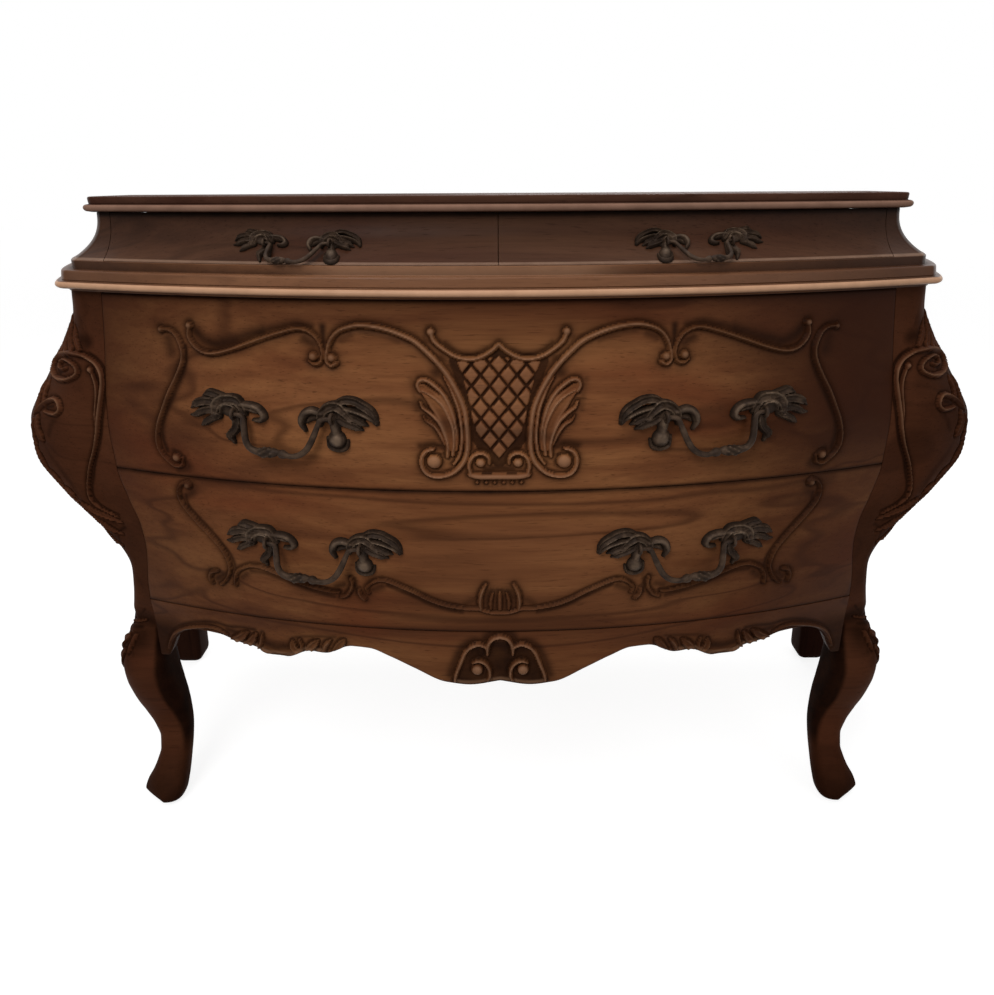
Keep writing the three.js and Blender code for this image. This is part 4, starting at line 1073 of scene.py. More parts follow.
def leg_section(z):
    """The leg's outline at one height: front, outer side, then round the back to the start."""
    x0, x1, y0, y1 = float(leg_inner(z)), float(leg_outer(z)), float(leg_front(z)), float(leg_back(z))
    edge, bevel, toe = float(leg_edge(z)), float(leg_bevel(z)), float(leg_toe(z))
    middle, depth = (x0 + x1) / 2, (y0 + y1) / 2

    def arc(first, last, count):
        t = np.radians(np.linspace(first, last, 200))
        c, s = np.cos(t), np.sin(t)
        front, outer = s < 0, c > 0
        power = np.where(front & ~outer, bevel, np.where(front, toe, 0.66))
        centre = np.where(front, edge, middle)
        half_x = np.where(outer, x1 - centre, centre - x0)
        x = centre + half_x * np.sign(c) * np.abs(c) ** power
        y = depth + (y1 - y0) / 2 * np.sign(s) * np.abs(s) ** power
        return resampled(x, y, count)
    return np.vstack([arc(-150, -45, STILE_COLUMNS + 1)[:-1], arc(-45, 45, CHEEK_COLUMNS + 1),
                      arc(45, 210, INNER_COLUMNS + 2)[1:-1]])


def block_section(z):
    """The corner block's outline at one height, in the same order."""
    s, x, y = wrap(z)
    inner_s, inner_x, inner_y = wrap(z, PANEL)
    stop, inner_stop = at_depth(s, y, STILE_BACK), at_depth(inner_s, inner_y, STILE_BACK)
    at = np.concatenate([np.linspace(s[0], 0, STILE_COLUMNS + 1)[:-1],
                         np.linspace(0, stop, CHEEK_COLUMNS + 1)])
    soft = ROUNDING * np.clip((at - s[0]) / ROUNDING, 0, 1)
    face = np.stack([softened(x, at, soft, s), softened(y, at, soft, s)], -1)
    keep = (inner_s < inner_stop) & (inner_s > inner_s[0])
    back_x = np.concatenate([[np.interp(inner_stop, inner_s, inner_x)], inner_x[keep][::-1], [x[0]]])
    back_y = np.concatenate([[STILE_BACK], inner_y[keep][::-1], [y[0] + PANEL]])
    return np.vstack([face, resampled(back_x, back_y, INNER_COLUMNS)])


def loft(rings):
    """Points and faces of a closed loft through rings of equal length."""
    rings = np.asarray(rings)
    count, n = rings.shape[0], rings.shape[1]
    at = np.arange(count * n).reshape(count, n)
    right = np.roll(at, -1, axis=1)
    faces = np.stack([at[:-1], right[:-1], right[1:], at[1:]], -1).reshape(-1, 4).tolist()
    faces += [at[0, ::-1].tolist(), at[-1].tolist()]
    return rings.reshape(-1, 3), faces


BLOCK_LOW = 318
LEG_CARVING_LOW = 190


def corner_and_leg():
    """The right corner: rings of one loft from the toe to the waist, and its marks."""
    levels = np.concatenate([[0, 1.2, 3, 5.5, 8, 11, 13.5], dense(16, LEG_CARVING_LOW, 2.6),
                             dense(LEG_CARVING_LOW + 2, TOP_OF_CORNER, 1.7)])
    rings = []
    for z in levels:
        share = float(rise(z, BLOCK_LOW, -60))
        share = share * share * (3 - 2 * share)
        section = np.zeros((STILE_COLUMNS + CHEEK_COLUMNS + 1 + INNER_COLUMNS, 2))
        if share < 1:
            section += (1 - share) * block_section(z)
        if share > 0:
            section += share * leg_section(z)
        rings.append(np.column_stack([section, np.full(len(section), z)]))
    rings = np.array(rings)
    face = rings[:, :STILE_COLUMNS + CHEEK_COLUMNS + 1]
    run = np.hypot(*np.moveaxis(np.diff(face[..., :2], axis=1), 2, 0))
    where = np.concatenate([np.zeros((len(levels), 1)), np.cumsum(run, axis=1)], axis=1)
    to_end = np.minimum(where, where[:, -1:] - where)
    where = where - where[:, STILE_COLUMNS:STILE_COLUMNS + 1]
    height, gap = carve(CORNER_CARVING, where, face[..., 2])
    height = height * np.clip(to_end / 3, 0, 1) * rise(face[..., 2], LEG_CARVING_LOW, 12)
    raised = face + normals_of(face) * height[..., None]
    raised[..., 2] = np.minimum(raised[..., 2], TOP_OF_CORNER)
    rings[:, :face.shape[1]] = raised
    hollow = np.zeros(rings.shape[:2])
    crest = np.zeros(rings.shape[:2])
    up = face[..., 2]
    # Painted shade on the corner: beside the carving, over the side as it turns away, and under the waist;
    # the stile is also darker in a band at mid height
    dark = np.maximum(shade(CORNER_SHADES, where, up, False),
                      0.58 * np.exp(-((up - 415) / 95) ** 4) * (where < 30))
    dark = np.maximum(dark, np.interp(where, (15, 95), (0.2, 0.6)) * rise(up, 330, 40))
    dark = np.maximum(dark, 0.5 * rise(up, 664, 12) * (where > 6) * rise(up, 735, -25))
    hollow[:, :face.shape[1]] = stain_and_shade(height, gap, dark) * (up > LEG_CARVING_LOW)
    # Crests lighten with wear and painted highlights, most at mid height and less round the side
    rubbed_and_lit = np.interp(up, (300, 460, 480, 668, 680), (0.4, 0.4, 0.8, 0.8, 0.3))
    rubbed_and_lit = rubbed_and_lit * np.interp(where, (60, 110), (1, 0.6))
    crest[:, :face.shape[1]] = np.clip(height / 4.8, 0, 1) * rubbed_and_lit
    # Painted shade on the leg's inner side, and darker towards the foot
    level = rings[..., 2]
    inward = rise(rings[..., 0], leg_edge(level) - 9, -6) * rise(level, 48, 45) * rise(level, 300, -22)
    hollow = np.maximum(hollow, np.maximum(inward, 0.8 * rise(level, 95, -75)))
    return rings, {"hollow": hollow.ravel(), "crest": crest.ravel()}


corner_rings, corner_marks = corner_and_leg()
for side, sign in SIDES:
    vertices, faces = loft(corner_rings * np.array([sign, 1, 1]))
    corner = finish_mesh(f"corner_and_leg_{side}", vertices, faces, "carcass", "stile", 40.0, corner_marks)
    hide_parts(f"front_leg_{side}")

# Shaped rails under the sides
for side, sign in SIDES:
    flip = np.array([sign, 1, 1])
    columns = np.linspace(0, 1, 100)
    face_rows, back_rows = [], []
    for share in np.linspace(0, 1, 15):
        low = side_rail_edge(columns)
        z = low + (DRAWER_BOTTOM + 1.5 - low) * share
        for rows, inset in ((face_rows, 0.0), (back_rows, PANEL)):
            ring = body_ring(z, inset)
            start, stop = side_at(ring, STILE_BACK), side_at(ring, SIDE_TO)
            x, y = side_point(ring, start + (stop - start) * columns)
            y = y + 0.3 * (columns == 0)
            rows.append(np.stack([x, y, z], -1))
    face = np.array(face_rows)
    height = -eased_edge(face[..., 2] - face[:1, :, 2], 4.0, 2.0)
    carved_board(f"rail_{side}", face * flip, np.array(back_rows)[::7] * flip, height,
                 np.full(height.shape, 60.0), "carcass", "side", f"side_rail_{side}")

# Rear legs: square posts, slimmer and rounded at the foot, following the side above
FOOT_ROUND = 16
for side, sign in SIDES:
    rings = []
    for z in np.concatenate([[0, 0.6, 2, 4, 7, 11, FOOT_ROUND], dense(22, TOP_OF_CORNER, 6)]):
        under = max(FOOT_ROUND - z, 0.0)
        tuck = 0.7 * (FOOT_ROUND - math.sqrt(FOOT_ROUND ** 2 - under ** 2))
        ring = body_ring(max(z, 240.0))
        inner = float(rear_x(z)) - REAR_POST + 10 * rise(z, 270, -60)
        flare = 13 * rise(z, 290, -140) ** 1.5

        def outer_at(y):
            return float(side_point(ring, side_at(ring, y))[0] + rear_x(z) - ring[3]) + flare
        front, rear = REAR_POST_FRONT + tuck, BACK - tuck
        soft = 2.0 + 7 * rise(z, 280, -60)
        corners = ((inner + tuck, front), (outer_at(REAR_POST_FRONT) - tuck, front),
                   (outer_at(BACK) - tuck, rear), (inner + tuck, rear))
        outline = []
        for k, (x, y) in enumerate(corners):
            centre_x = x + soft * (1 if k in (0, 3) else -1)
            centre_y = y + soft * (1 if k < 2 else -1)
            for turn in np.radians(np.linspace(180, 270, 5) + 90 * k):
                outline.append((centre_x + soft * math.cos(turn), centre_y + soft * math.sin(turn)))
        rings.append([(sign * x, y, z) for x, y in outline])
    vertices, faces = loft(rings)
    # The rear legs grow darker towards the foot
    marks = {"hollow": rise(vertices[:, 2], 300, -60) * 0.5, "crest": np.zeros(len(vertices))}
    leg = finish_mesh(f"rear_leg_{side}_turned", vertices, faces, "carcass", "side", 50.0, marks)
    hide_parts(f"rear_leg_{side}")

# Frieze boards, coved
FRIEZE_ROWS = 44
FRIEZE_PANEL = 18.0


def frieze_levels(gap):
    """Levels of a coved board, closer together where the cove is steep."""
    low, high = FRIEZE_BOTTOM + gap, TOP_UNDERSIDE - gap
    return low + (high - low) * np.linspace(0, 1, FRIEZE_ROWS) ** 1.4


def frieze_board(name, points, back_points, body, node):
    """A coved board, top and bottom edges eased; painted shade under the top, a painted highlight on its
    lip.
    """
    height = np.zeros(points.shape[:2])
    height[[0, -1]] = -0.5
    level = points[..., 2]
    carved_board(name, points, back_points, height, np.full(height.shape, 60.0), body, "frieze", node,
                 dark=np.maximum(0.95 * rise(level, TOP_UNDERSIDE - 8, 5), 0.34 * rise(level, 792, 38)),
                 worn_and_lit=0.9 * rise(level, FRIEZE_BOTTOM + 4.2, -1.6))


for side, sign in SIDES:
    z = frieze_levels(SEAM)[:, None]
    x = sign * np.linspace(SEAM / 2, SMALL_DRAWER_X, 150)[None, :]
    z, x = np.broadcast_arrays(z, x)
    face, back = sheet(cove_y, x, z), sheet(cove_back, x, z)[::FRIEZE_ROWS - 1]
    frieze_board(f"small_front_{side}", face, back, f"small_drawer_{side}", f"small_drawer_{side}_front")

    grids = []
    for inset in (0.0, FRIEZE_PANEL):
        grid = []
        for level in frieze_levels(BOARD_GAP):
            ring = frieze_ring(level, inset)
            front_x = np.linspace(SMALL_DRAWER_X + SEAM, float(ring[0]), 12)
            side_x, side_y = side_point(ring, np.linspace(0, 1, 90)[1:])
            grid.append(np.stack([np.concatenate([front_x, side_x]),
                                  np.concatenate([front_y(ring, front_x), side_y]),
                                  np.full(101, level)], -1))
        grids.append(np.array(grid) * np.array([sign, 1, 1]))
    frieze_board(f"frieze_{side}", grids[0], grids[1][::FRIEZE_ROWS - 1], "carcass", f"frieze_end_{side}")


# Boards with a moulded edge, drawn out from a filled outline level by level
def board_outline(base, out):
    """A board's plan at one step of its moulding, as a closed line."""
    corner, front, bulge, rear = base
    ring = (corner + out, front - out, bulge, rear + out)
    x = np.linspace(-ring[0], ring[0], 97)
    side_x, side_y = side_point(ring, np.linspace(0, 1, 41)[1:])
    left = np.stack([-side_x[::-1], side_y[::-1]], -1)
    return np.vstack([np.stack([x, front_y(ring, x)], -1), np.stack([side_x, side_y], -1), left])


def moulded_board(name, base, profile, finish, node):
    """A board drawn up from its plan by its profile, a row of heights and steps out."""
    outline = board_outline(base, profile[0][1])
    bpy.ops.object.select_all(action="DESELECT")
    bpy.ops.mesh.primitive_circle_add(vertices=len(outline), fill_type="NGON")
    piece = bpy.context.object
    piece.name = name
    bpy.ops.object.mode_set(mode="EDIT")
    bpy.ops.mesh.select_all(action="SELECT")
    for level, (z, out) in enumerate(profile):
        if level:
            bpy.ops.mesh.extrude_region_move()
        made = bmesh.from_edit_mesh(piece.data)
        for vertex, (x, y) in zip([v for v in made.verts if v.select], board_outline(base, out)):
            vertex.co = (x * MM, y * MM, z * MM)
        bmesh.update_edit_mesh(piece.data)
    bpy.ops.mesh.select_all(action="SELECT")
    bpy.ops.mesh.normals_make_consistent(inside=False)
    bpy.ops.object.mode_set(mode="OBJECT")
    level = points_of(piece)[:, 2] / MM
    z, out = np.array(profile).T
    # Painted highlights, with wear, along the noses and the waist's flat band; painted shade in the steps
    # under them
    band = np.where((out > out.max() - 9) & (out < out.max() - 6), 0.44 if name == "waist" else 0.0, 0.0)
    proud = np.interp(level, z, np.maximum(np.clip((out - out.max() + 4.5) / 3.0, 0, 1), band))
    sunk = np.interp(level, z, [float(0 < k < len(out) - 1 and out[k] < out[k - 1] and out[k] <= out[k + 1])
                                for k in range(len(out))])
    # The waist's fascia: painted shade towards its ends, a painted highlight in its middle
    if name == "waist":
        ends = rise(np.abs(points_of(piece)[:, 0] / MM + 40), 130, 330)
        fascia = (level > 769.7) & (level < 779.9)
        sunk = np.maximum(sunk, 0.9 * ends * fascia)
        proud = np.maximum(proud, 0.58 * np.clip(1 - 1.6 * ends, 0, 1) * fascia)
    mark_points(piece.data, hollow=sunk * 0.8, crest=proud)
    dress(piece, "carcass", finish, 28.0)
    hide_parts(node)


def quarter(z0, out0, z1, out1, steps, hollow=False):
    """Points of a quarter round between two places of a profile."""
    rows = []
    for k in range(1, steps + 1):
        t = math.pi / 2 * k / steps
        a, b = (1 - math.cos(t), math.sin(t)) if hollow else (math.sin(t), 1 - math.cos(t))
        rows.append((z0 + (z1 - z0) * b, out0 + (out1 - out0) * a))
    return rows


TOP_PROFILE = [(833, 5), (833.6, 8.5), *quarter(833.6, 8.5, 837.6, 12.4, 5),
               *quarter(837.6, 12.4, 841.2, 8.4, 5, True), (841.5, 7.0),
               (842.2, 6.2), (843.0, 6.6), (848.0, 7.0), (849.3, 6.6), (HEIGHT, 5.4)]
WAIST_PROFILE = [(746, 7), (748.4, 7.6), (748.8, 13.5), *quarter(748.8, 13.5, 752.6, 20.0, 6),
                 *quarter(752.6, 20.0, 757.2, 15.5, 6, True), (757.4, 13.2), (758.2, 12.4), (759.0, 13.0),
                 (767.0, 12.0), *quarter(767.0, 12.0, 769.6, 9.5, 4, True), (769.9, 1.4), (770.4, 0.8),
                 (779.4, 0.8), (780, 0.3)]
moulded_board("top", TOP_PLAN, TOP_PROFILE, "top", "top_board")
moulded_board("waist", WAIST_PLAN, WAIST_PROFILE, "trim", "waist_board")

# Frame nodes whose shape is right take their finish here
DRAWERS = ("upper_drawer", "lower_drawer", "small_drawer_left", "small_drawer_right")
for names, finish in (
        (["frieze_back", "back_panel"], "back"),
        (["frieze_divider", "dust_board", "bottom_board"], "oak_across"),
        ([f"{level}_guide_{side}" for level in ("upper", "lower") for side, _ in SIDES], "oak"),
        ([f"{drawer}_side_{side}" for drawer in DRAWERS for side, _ in SIDES], "oak"),
        ([f"{drawer}_{part}" for drawer in DRAWERS for part in ("back", "bottom")], "oak_across")):
    for name in names:
        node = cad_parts[name]
        node.data.materials.clear()
        node.data.materials.append(FINISHES[finish].material)


# Handles: cast mounts with a knuckle and an eye each, a bail between, and a nut behind the front.
# Mounts are drawn about their eye, for the left-hand handles; the right-hand ones are mirrored.
MOUNT_LEFT = [
    leaf([(-25, -6), (-21, 7), (-14, 13), (-5, 15), (4, 14), (9, 8), (12, -1)], 6.2, 9.0, (0.5, 0.6)),
    ridge([(-17, -2), (-13, 7), (-5, 9), (2, 6), (4, -2)], 3.4, 8.0, (0.6, 0.6)),
    leaf([(-8, 15), (-20, 19), (-30, 21), (-39, 17)], 4.8, 6.5, (0.9, 0.15)),
    leaf([(-16, 7), (-29, 11), (-40, 10), (-48, 7), (-56, 1)], 5.2, 7.0, (0.9, 0.15)),
    leaf([(-19, 0), (-32, 1), (-42, -2), (-50, -6), (-58, -7)], 4.6, 6.4, (0.9, 0.15)),
    leaf([(-20, -6), (-29, -9), (-38, -14), (-45, -19)], 4.4, 5.4, (0.9, 0.15)),
    bead([(8, 9), (18, 9), (27, 7), (33, 2), (35, -4), (30, -8), (22, -8)], 4.4, 6.8, (0.9, 0.5)),
    ridge([(14, 4), (22, 3), (28, 0)], 3.4, 5.6, (0.8, 0.4)),
    leaf([(2, -2), (2, -12), (-1, -20), (-8, -27), (-5, -37)], 5.0, 7.6, (0.9, 0.4)),
    ridge([(9, -8), (8, -20), (9, -34)], 3.6, 5.2, (0.9, 0.4)),
    bead([(-9, 4), (-3, 3), (3, 0)], 9.5, 2.6, (1, 1)),
    knob((0, 0), 7.5, 7.0),
]
MOUNT_RIGHT = [
    bead([(-12, 3), (-24, 6), (-33, 2), (-37, -8), (-33, -17)], 4.8, 7.0, (0.8, 0.5)),
    ridge([(-16, -2), (-25, -3), (-30, -8)], 3.2, 5.4, (0.8, 0.4)),
    leaf([(-15, -10), (-11, 4), (-3, 11), (6, 12), (13, 7), (20, -2)], 6.0, 9.0, (0.5, 0.6)),
    leaf([(3, 14), (14, 19), (26, 18), (34, 14), (42, 9), (48, 2), (51, -8)], 5.0, 7.8, (0.7, 0.25)),
    ridge([(14, 9), (25, 7), (36, 3), (44, -2), (49, -9)], 4.0, 8.2, (0.8, 0.3)),
    leaf([(8, -3), (17, -8), (26, -11), (34, -15)], 4.6, 6.2, (0.9, 0.2)),
    leaf([(16, 2), (28, -3), (40, -10)], 4.2, 6.0, (0.9, 0.2)),
    knob((3, -26), 10.5, 8.2),
    ridge([(-8, -24), (-6, -35), (3, -39), (13, -36), (16, -27)], 2.8, 5.2, (0.5, 0.5)),
    bead([(0, -2), (2, -14), (3, -22)], 6.0, 7.0, (1, 0.9)),
    bead([(-6, 2), (2, 2), (9, -2)], 9.5, 2.6, (1, 1)),
    knob((0, 0), 7.5, 7.0),
]
CASTING_EDGE = 1.5


def mount_pattern(name, strokes, step=1.15):
    """A mount modelled flat: a fine grid, cut to the casting's outline, drawn up and chased."""
    low = np.min([s.line.min(axis=0) - s.widths.max() for s in strokes], axis=0) - 2 * step
    high = np.max([s.line.max(axis=0) + s.widths.max() for s in strokes], axis=0) + 2 * step
    counts = np.ceil((high - low) / step).astype(int)
    bpy.ops.object.select_all(action="DESELECT")
    bpy.ops.mesh.primitive_grid_add(x_subdivisions=int(counts[0]), y_subdivisions=int(counts[1]), size=2)
    piece = bpy.context.object
    piece.name = name
    mesh = piece.data
    flat = points_of(piece)
    flat[:, :2] = low + (flat[:, :2] + 1) / 2 * (high - low)
    _, gap = carve(strokes, flat[:, 0], flat[:, 1])
    mesh.vertices.foreach_set("co", flat.ravel())
    bpy.ops.object.mode_set(mode="EDIT")
    bpy.ops.mesh.select_mode(type="FACE")
    bpy.ops.mesh.select_all(action="DESELECT")
    select_faces(mesh, lambda face: max(gap[v.index] for v in face.verts) > 0.5 * step)
    bpy.ops.mesh.delete(type="FACE")
    made = bmesh.from_edit_mesh(mesh)
    rim = [v for v in made.verts if v.is_boundary]
    for _ in range(3):
        at = np.array([v.co[:2] for v in rim])
        here = carve(strokes, at[:, 0], at[:, 1])[1]
        slope = np.stack([carve(strokes, at[:, 0] + 0.2, at[:, 1])[1] - here,
                          carve(strokes, at[:, 0], at[:, 1] + 0.2)[1] - here], -1) / 0.2
        slope /= np.linalg.norm(slope, axis=1, keepdims=True) + 1e-6
        at -= slope * np.clip(here, -0.6 * step, 0.6 * step)[:, None]
        for v, (x, y) in zip(rim, at):
            v.co.x, v.co.y = x, y
    bmesh.update_edit_mesh(mesh)
    bpy.ops.mesh.select_all(action="SELECT")
    bpy.ops.mesh.extrude_region_move()
    made = bmesh.from_edit_mesh(mesh)
    top = [v for v in made.verts if v.select]
    at = np.array([v.co[:2] for v in top])
    height, gap = carve(strokes, at[:, 0], at[:, 1], 0.0)
    for v, h in zip(top, height):
        v.co.z = CASTING_EDGE + max(h, 0.0)
    bmesh.update_edit_mesh(mesh)
    bpy.ops.mesh.select_all(action="SELECT")
    bpy.ops.mesh.normals_make_consistent(inside=False)
    bpy.ops.object.mode_set(mode="OBJECT")
    flat = points_of(piece)
    mark_points(mesh, hollow=1 - rise(flat[:, 2], CASTING_EDGE, 4.0), crest=rise(flat[:, 2], 4.0, 6.0))
    return piece, flat


def laid(points, surface, centre, scale, sign, back):
    """Pattern points laid on a front: across and up from the centre, and out along the normal."""
    x = centre[0] + sign * scale * points[:, 0]
    step = 1.0
    slope = (surface(centre[0], centre[1] + step) - surface(centre[0], centre[1] - step)) / (2 * step)
    z = centre[1] + scale * points[:, 1] / math.hypot(1, slope)
    here = sheet(surface, x, z)
    n = np.cross(sheet(surface, x + step, z) - here, sheet(surface, x, z + step) - here)
    n /= np.linalg.norm(n, axis=1, keepdims=True)
    return here + n * (back + scale * points[:, 2])[:, None]


def copied(pattern, name, points, body, finish, flipped, angle=40.0):
    """A copy of a pattern with its own mesh, its points in millimetres."""
    piece = in_scene(name, pattern.data.copy())
    piece.data.vertices.foreach_set("co", (points * MM).ravel())
    if flipped:
        piece.data.flip_normals()
    piece.data.update()
    dress(piece, body, finish, angle)
    return piece


def join_to(piece):
    """Joins what was made last to a piece."""
    piece.select_set(True)
    bpy.context.view_layer.objects.active = piece
    bpy.ops.object.join()
    bpy.ops.object.transform_apply(location=True, rotation=True, scale=True)


EYE_HEIGHT = 13
# Radius and length of each turned step of a post
POST_STEPS = ((3.6, 1.2), (3.2, 1.0), (4.4, 1.2), (4.4, 1.0), (3.2, 1.2), (3.6, 1.6))


def knuckle_pattern():
    """A turned post with a bead and an eye ring, along +Z."""
    bpy.ops.object.select_all(action="DESELECT")
    bpy.ops.mesh.primitive_cylinder_add(vertices=20, radius=5.2, depth=1.6, location=(0, 0, 0.8))
    post = bpy.context.object
    bpy.ops.object.mode_set(mode="EDIT")
    bpy.ops.mesh.select_mode(type="FACE")
    for radius, length in POST_STEPS:
        select_faces(post.data, lambda face: face.normal.z > 0.9)
        bpy.ops.mesh.extrude_region_move(TRANSFORM_OT_translate={"value": (0, 0, length)})
        made = bmesh.from_edit_mesh(post.data)
        for vertex in [v for v in made.verts if v.select]:
            reach = math.hypot(vertex.co.x, vertex.co.y)
            vertex.co.x *= radius / reach
            vertex.co.y *= radius / reach
        bmesh.update_edit_mesh(post.data)
    bpy.ops.object.mode_set(mode="OBJECT")
    bpy.ops.mesh.primitive_torus_add(major_segments=28, minor_segments=14, major_radius=5.3,
                                     minor_radius=1.9, location=(0, 0, EYE_HEIGHT),
                                     rotation=(0, math.radians(90), 0))
    join_to(post)
    post.name = "knuckle"
    return post


def nut_pattern():
    """A six-sided nut on its washer, along +Z."""
    bpy.ops.object.select_all(action="DESELECT")
    bpy.ops.mesh.primitive_cylinder_add(vertices=6, radius=5.2, depth=3.2, location=(0, 0, 2.6))
    nut = bpy.context.object
    bpy.ops.object.mode_set(mode="EDIT")
    bpy.ops.mesh.select_mode(type="FACE")
    select_faces(nut.data, lambda face: face.normal.z > 0.9)
    bpy.ops.mesh.inset(thickness=2.2)
    bpy.ops.mesh.extrude_region_move(TRANSFORM_OT_translate={"value": (0, 0, 3.0)})
    bpy.ops.object.mode_set(mode="OBJECT")
    bevel = nut.modifiers.new("edge", "BEVEL")
    bevel.width = 0.35
    bevel.segments = 2
    bpy.ops.object.modifier_apply(modifier=bevel.name)
    bpy.ops.mesh.primitive_cylinder_add(vertices=32, radius=7.5, depth=1.0, location=(0, 0, 0.5))
    join_to(nut)
    nut.name = "nut"
    return nut


# The bail's path between its pins, for the left-hand handles: across, down, half-thickness
BAIL = [(-61, 0, 2.4), (-56, 0, 2.4), (-51, -0.5, 2.5), (-48, -4, 3.0), (-47.5, -13, 3.5),
        (-47.5, -24, 3.8), (-46, -33, 3.9), (-42, -39, 3.8), (-35, -42, 4.6), (-28, -43, 6.9),
        (-20, -43, 7.3), (-13, -42.5, 5.8), (-8.5, -42.5, 3.3), (-5, -43.5, 5.2), (-1, -44.5, 4.9),
        (3, -45.5, 3.2), (9, -46, 3.3), (18, -43.5, 3.5), (26, -37.5, 3.7), (32, -29, 3.8),
        (37, -19.5, 3.6), (41.5, -10, 3.2), (45, -3, 2.8), (50, -0.5, 2.5), (56, 0, 2.4), (61, 0, 2.4)]


def bail_pattern():
    """The bail as a bent rod that swells to a leaf and a ball."""
    path = np.array(BAIL, float)
    line = eased(path, 1.6)
    wire = bpy.data.curves.new("bail", "CURVE")
    wire.dimensions = "3D"
    wire.bevel_depth = 1.0
    wire.bevel_resolution = 4
    wire.use_fill_caps = True
    spline = wire.splines.new("POLY")
    spline.points.add(len(line) - 1)
    for point, (x, y, r) in zip(spline.points, line):
        point.co = (x, y, 0, 1)
        point.radius = r
    piece = in_scene("bail", wire)
    pick(piece)
    bpy.ops.object.convert(target="MESH")
    at = points_of(piece)
    apart = at[:, None, :2] - line[None, :, :2]
    nearest = np.argmin(np.hypot(apart[..., 0], apart[..., 1]), axis=1)
    core = np.column_stack([line[nearest, :2], np.zeros(len(at))])
    out = at - core
    angle = np.arctan2(out[:, 2], np.hypot(out[:, 0], out[:, 1]) * np.sign(out[:, 1] - out[:, 0] * 0.3))
    leafy = np.interp(line[nearest, 0], [-38, -30, -16, -11], [0, 1, 1, 0]) * (line[nearest, 1] < -36)
    fluted = 1 - 0.26 * leafy * np.abs(np.sin(2.5 * angle + 0.25 * line[nearest, 0])) ** 0.7
    piece.data.vertices.foreach_set("co", (core + out * fluted[:, None]).ravel())
    mark_points(piece.data, hollow=leafy * (1 - rise(fluted, 0.74, 0.16)),
                crest=0.25 + 0.5 * leafy * (fluted > 0.92))
    return piece, points_of(piece)


def turned_about(points, turn):
    """Points turned about the upright axis."""
    c, s = math.cos(turn), math.sin(turn)
    x, y, z = points.T
    return np.column_stack([x * c - y * s, x * s + y * c, z])


PATTERNS = {"left": mount_pattern("mount_left", MOUNT_LEFT),
            "right": mount_pattern("mount_right", MOUNT_RIGHT)}
KNUCKLE = knuckle_pattern()
NUT = nut_pattern()
BAIL_PIECE, BAIL_POINTS = bail_pattern()
# A handle's half span, its eyes' reach, the posts' depth in the front, the front's lean, how proud the
# castings stand, the posts' girth and extra length, and the sizes of nut and rod
LARGE = {"spread": 58, "reach": 13, "sunk": 0.5, "lean": 0.0, "proud": 0.3, "girth": 1.0, "foot": 0.0,
         "nut": 1.0, "rod": 1.0}
SMALL = {"spread": 37, "reach": 9.5, "sunk": 2.0, "lean": math.radians(52), "proud": 0.6, "girth": 0.72,
         "foot": 1.5, "nut": 0.8, "rod": 0.64}


def handle(level, side, sign, at, scale, kind, surface, body, panel_back):
    """One handle: its mounts, posts and nuts ride its drawer, its bail swings between the eyes."""
    spread, reach, sunk, lean = kind["spread"], kind["reach"], kind["sunk"], kind["lean"]
    centre_x = sign * at[0]
    ends = [centre_x - spread, centre_x + spread]
    eyes_y = [float(surface(x, at[1])) - sunk - reach for x in ends]
    turn = math.atan2(eyes_y[1] - eyes_y[0], ends[1] - ends[0])
    name = f"{level}_handle_{side}"
    for which, x, eye_y in (("left", ends[0], eyes_y[0]), ("right", ends[1], eyes_y[1])):
        drawn = which if sign < 0 else {"left": "right", "right": "left"}[which]
        pattern, points = PATTERNS[drawn]
        placed = laid(points, surface, (x, at[1]), scale, -sign, kind["proud"])
        mount = copied(pattern, f"{name}_mount_{which}_casting", placed, body, "bronze", sign > 0)
        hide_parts(f"{name}_mount_{which}")
        post = points_of(KNUCKLE).copy()
        girth, depth = kind["girth"], reach + sunk + kind["foot"]
        post[:, :2] *= girth
        ring = post[:, 2] > 7.0
        post[:, 2] = np.where(ring, depth + (post[:, 2] - EYE_HEIGHT) * girth,
                              post[:, 2] * (depth - 4.6 * girth) / 8.8)
        turned = np.column_stack([post[:, 0], depth - post[:, 2], post[:, 1]])
        turned = turned_about(turned, turn) + np.array([x, eye_y, at[1]])
        copied(KNUCKLE, f"{name}_knuckle_{which}", turned, body, "bronze", False)
        nut = points_of(NUT) * kind["nut"]
        turned = np.column_stack([nut[:, 0], nut[:, 2], -nut[:, 1]])
        turned = turned_about(turned, math.atan2(2 * BOW * x, 1))
        turned = turned + np.array([x, panel_back(x, at[1]) + 0.2, at[1]])
        copied(NUT, f"{name}_nut_{which}", turned, body, "bronze", False, 30.0)
    rod = BAIL_POINTS * kind["rod"] * np.array([-sign, 1, 1])
    fit = (spread + 3 * scale) / np.abs(rod[:, 0]).max()
    across = rod[:, 0] * fit
    hung = np.column_stack([across, rod[:, 1] * math.sin(lean) - rod[:, 2] * math.cos(lean),
                            rod[:, 1] * math.cos(lean) + rod[:, 2] * math.sin(lean)])
    hung = turned_about(hung, turn) + np.array([centre_x, sum(eyes_y) / 2, at[1]])
    bail = copied(BAIL_PIECE, f"{name}_swinging_bail", hung, f"{level}_bail_{side}", "bronze", sign > 0)
    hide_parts(f"{name}_bail")


for side, sign in SIDES:
    handle("upper", side, sign, (243, 618), 1.0, LARGE, belly_y, "upper_drawer", belly_back)
    handle("lower", side, sign, (223, 457), 0.96, LARGE, belly_y, "lower_drawer", belly_back)
    handle("small", side, sign, (219, 802), 0.66, SMALL, cove_y, f"small_drawer_{side}", cove_back)
for pattern in (PATTERNS["left"][0], PATTERNS["right"][0], KNUCKLE, NUT, BAIL_PIECE):
    bpy.data.objects.remove(pattern)


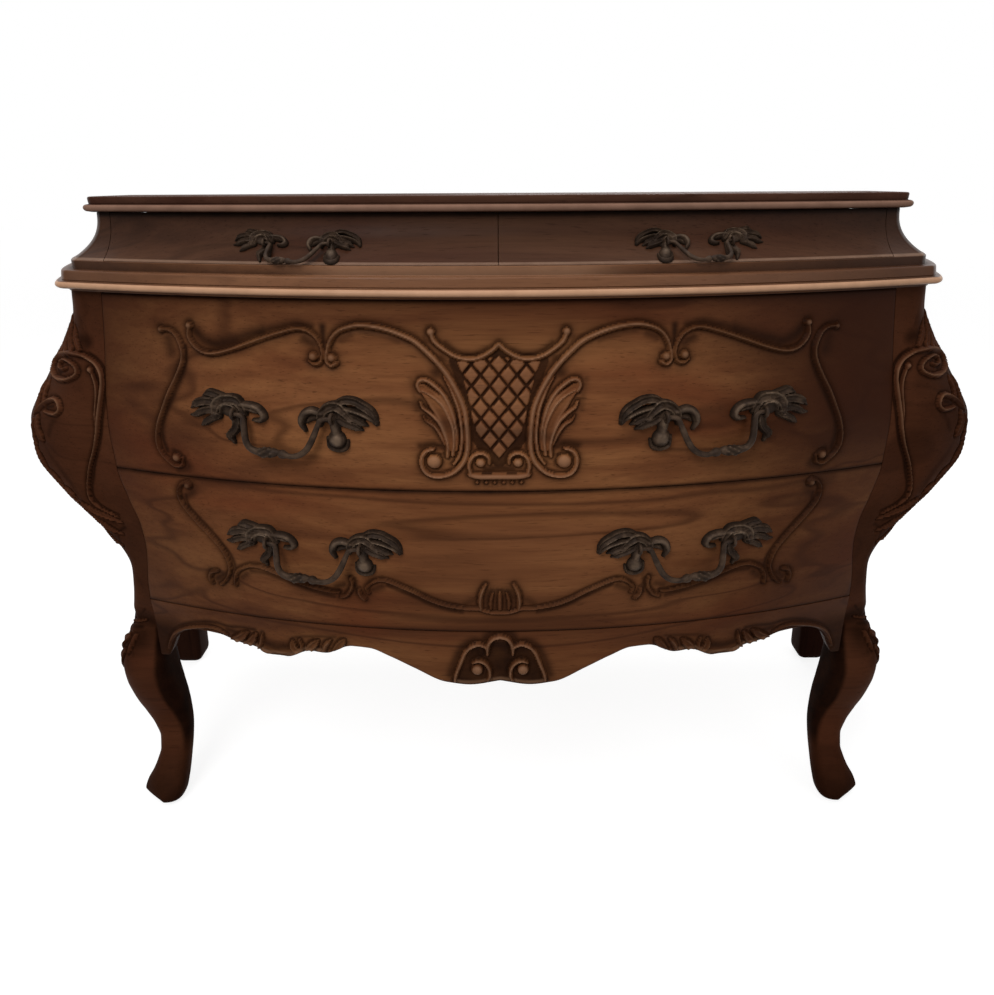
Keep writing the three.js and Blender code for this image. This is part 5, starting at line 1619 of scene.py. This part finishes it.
# Floor, light and camera. A lamp's place and target are in metres, its size too, its power in watts
LAMPS = (
    ("key", (-0.9, -2.3, 2.5), (0, 0, 0.5), 1.3, 44),
    ("fill", (1.9, -2.1, 1.5), (0, 0, 0.5), 1.6, 10),
    ("over", (0.0, 0.2, 2.8), (0, 0, 0.6), 1.8, 26),
    ("rear", (0.6, 2.6, 1.8), (0, 0, 0.5), 1.8, 22),
)
EYE_PLACE = (-0.0010, -1.196, 0.856)
EYE_TILT = 19.95
EYE_ROLL = 0.3
FOCAL_PIXELS = 850
IMAGE_WIDTH = 994


def studio():
    """A grey floor, an even white room with soft lamps, and the photograph's eye point."""
    bpy.ops.object.select_all(action="DESELECT")
    bpy.ops.mesh.primitive_plane_add(size=40, location=(0, 0, -0.0005))
    floor = bpy.context.object
    floor.name = "studio_floor"
    paint = Recipe("studio floor", "floor")
    path = paint.node("LightPath", {}, {})
    rays = path.out("Is Camera Ray") + path.out("Is Glossy Ray") + path.out("Is Transmission Ray")
    seen = rays.over(0.0, 1.0)
    glow = paint.mix(seen, (0, 0, 0, 1), (0.84, 0.84, 0.84, 1))
    paint.set(Base_Color=(0.32, 0.32, 0.32, 1), Roughness=0.95, Emission_Color=glow, Emission_Strength=1.0)
    floor.data.materials.append(paint.material)

    world = bpy.data.worlds.new("studio")
    bpy.context.scene.world = world
    world.use_nodes = True
    tree = world.node_tree
    background = tree.nodes["Background"]
    path = tree.nodes.new("ShaderNodeLightPath")
    either = tree.nodes.new("ShaderNodeMath")
    any_of = tree.nodes.new("ShaderNodeMath")
    either.operation = any_of.operation = "MAXIMUM"
    strength = tree.nodes.new("ShaderNodeMix")
    strength.inputs[2].default_value = 0.30
    strength.inputs[3].default_value = 1.0
    tree.links.new(path.outputs["Is Camera Ray"], either.inputs[0])
    tree.links.new(path.outputs["Is Glossy Ray"], either.inputs[1])
    tree.links.new(either.outputs[0], any_of.inputs[0])
    tree.links.new(path.outputs["Is Transmission Ray"], any_of.inputs[1])
    tree.links.new(any_of.outputs[0], strength.inputs[0])
    tree.links.new(strength.outputs[0], background.inputs["Strength"])
    background.inputs["Color"].default_value = (1, 1, 1, 1)

    for name, place, target, size, power in LAMPS:
        lamp = bpy.data.lights.new(name, "AREA")
        lamp.size = size
        lamp.energy = power
        holder = in_scene(name, lamp)
        holder.location = place
        aim = [t - p for t, p in zip(target, place)]
        flat = math.hypot(aim[0], aim[1])
        holder.rotation_euler = (math.atan2(flat, -aim[2]), 0, math.atan2(-aim[0], aim[1]))

    eye = bpy.data.cameras.new("eye")
    eye.sensor_fit = "HORIZONTAL"
    eye.sensor_width = 36
    eye.lens = eye.sensor_width * FOCAL_PIXELS / IMAGE_WIDTH
    eye.clip_start = 0.01
    holder = in_scene("eye", eye)
    holder.location = EYE_PLACE
    holder.rotation_euler = (math.radians(90 - EYE_TILT), math.radians(EYE_ROLL), 0)
    bpy.context.scene.camera = holder
    bpy.context.scene.view_settings.view_transform = "Standard"


studio()
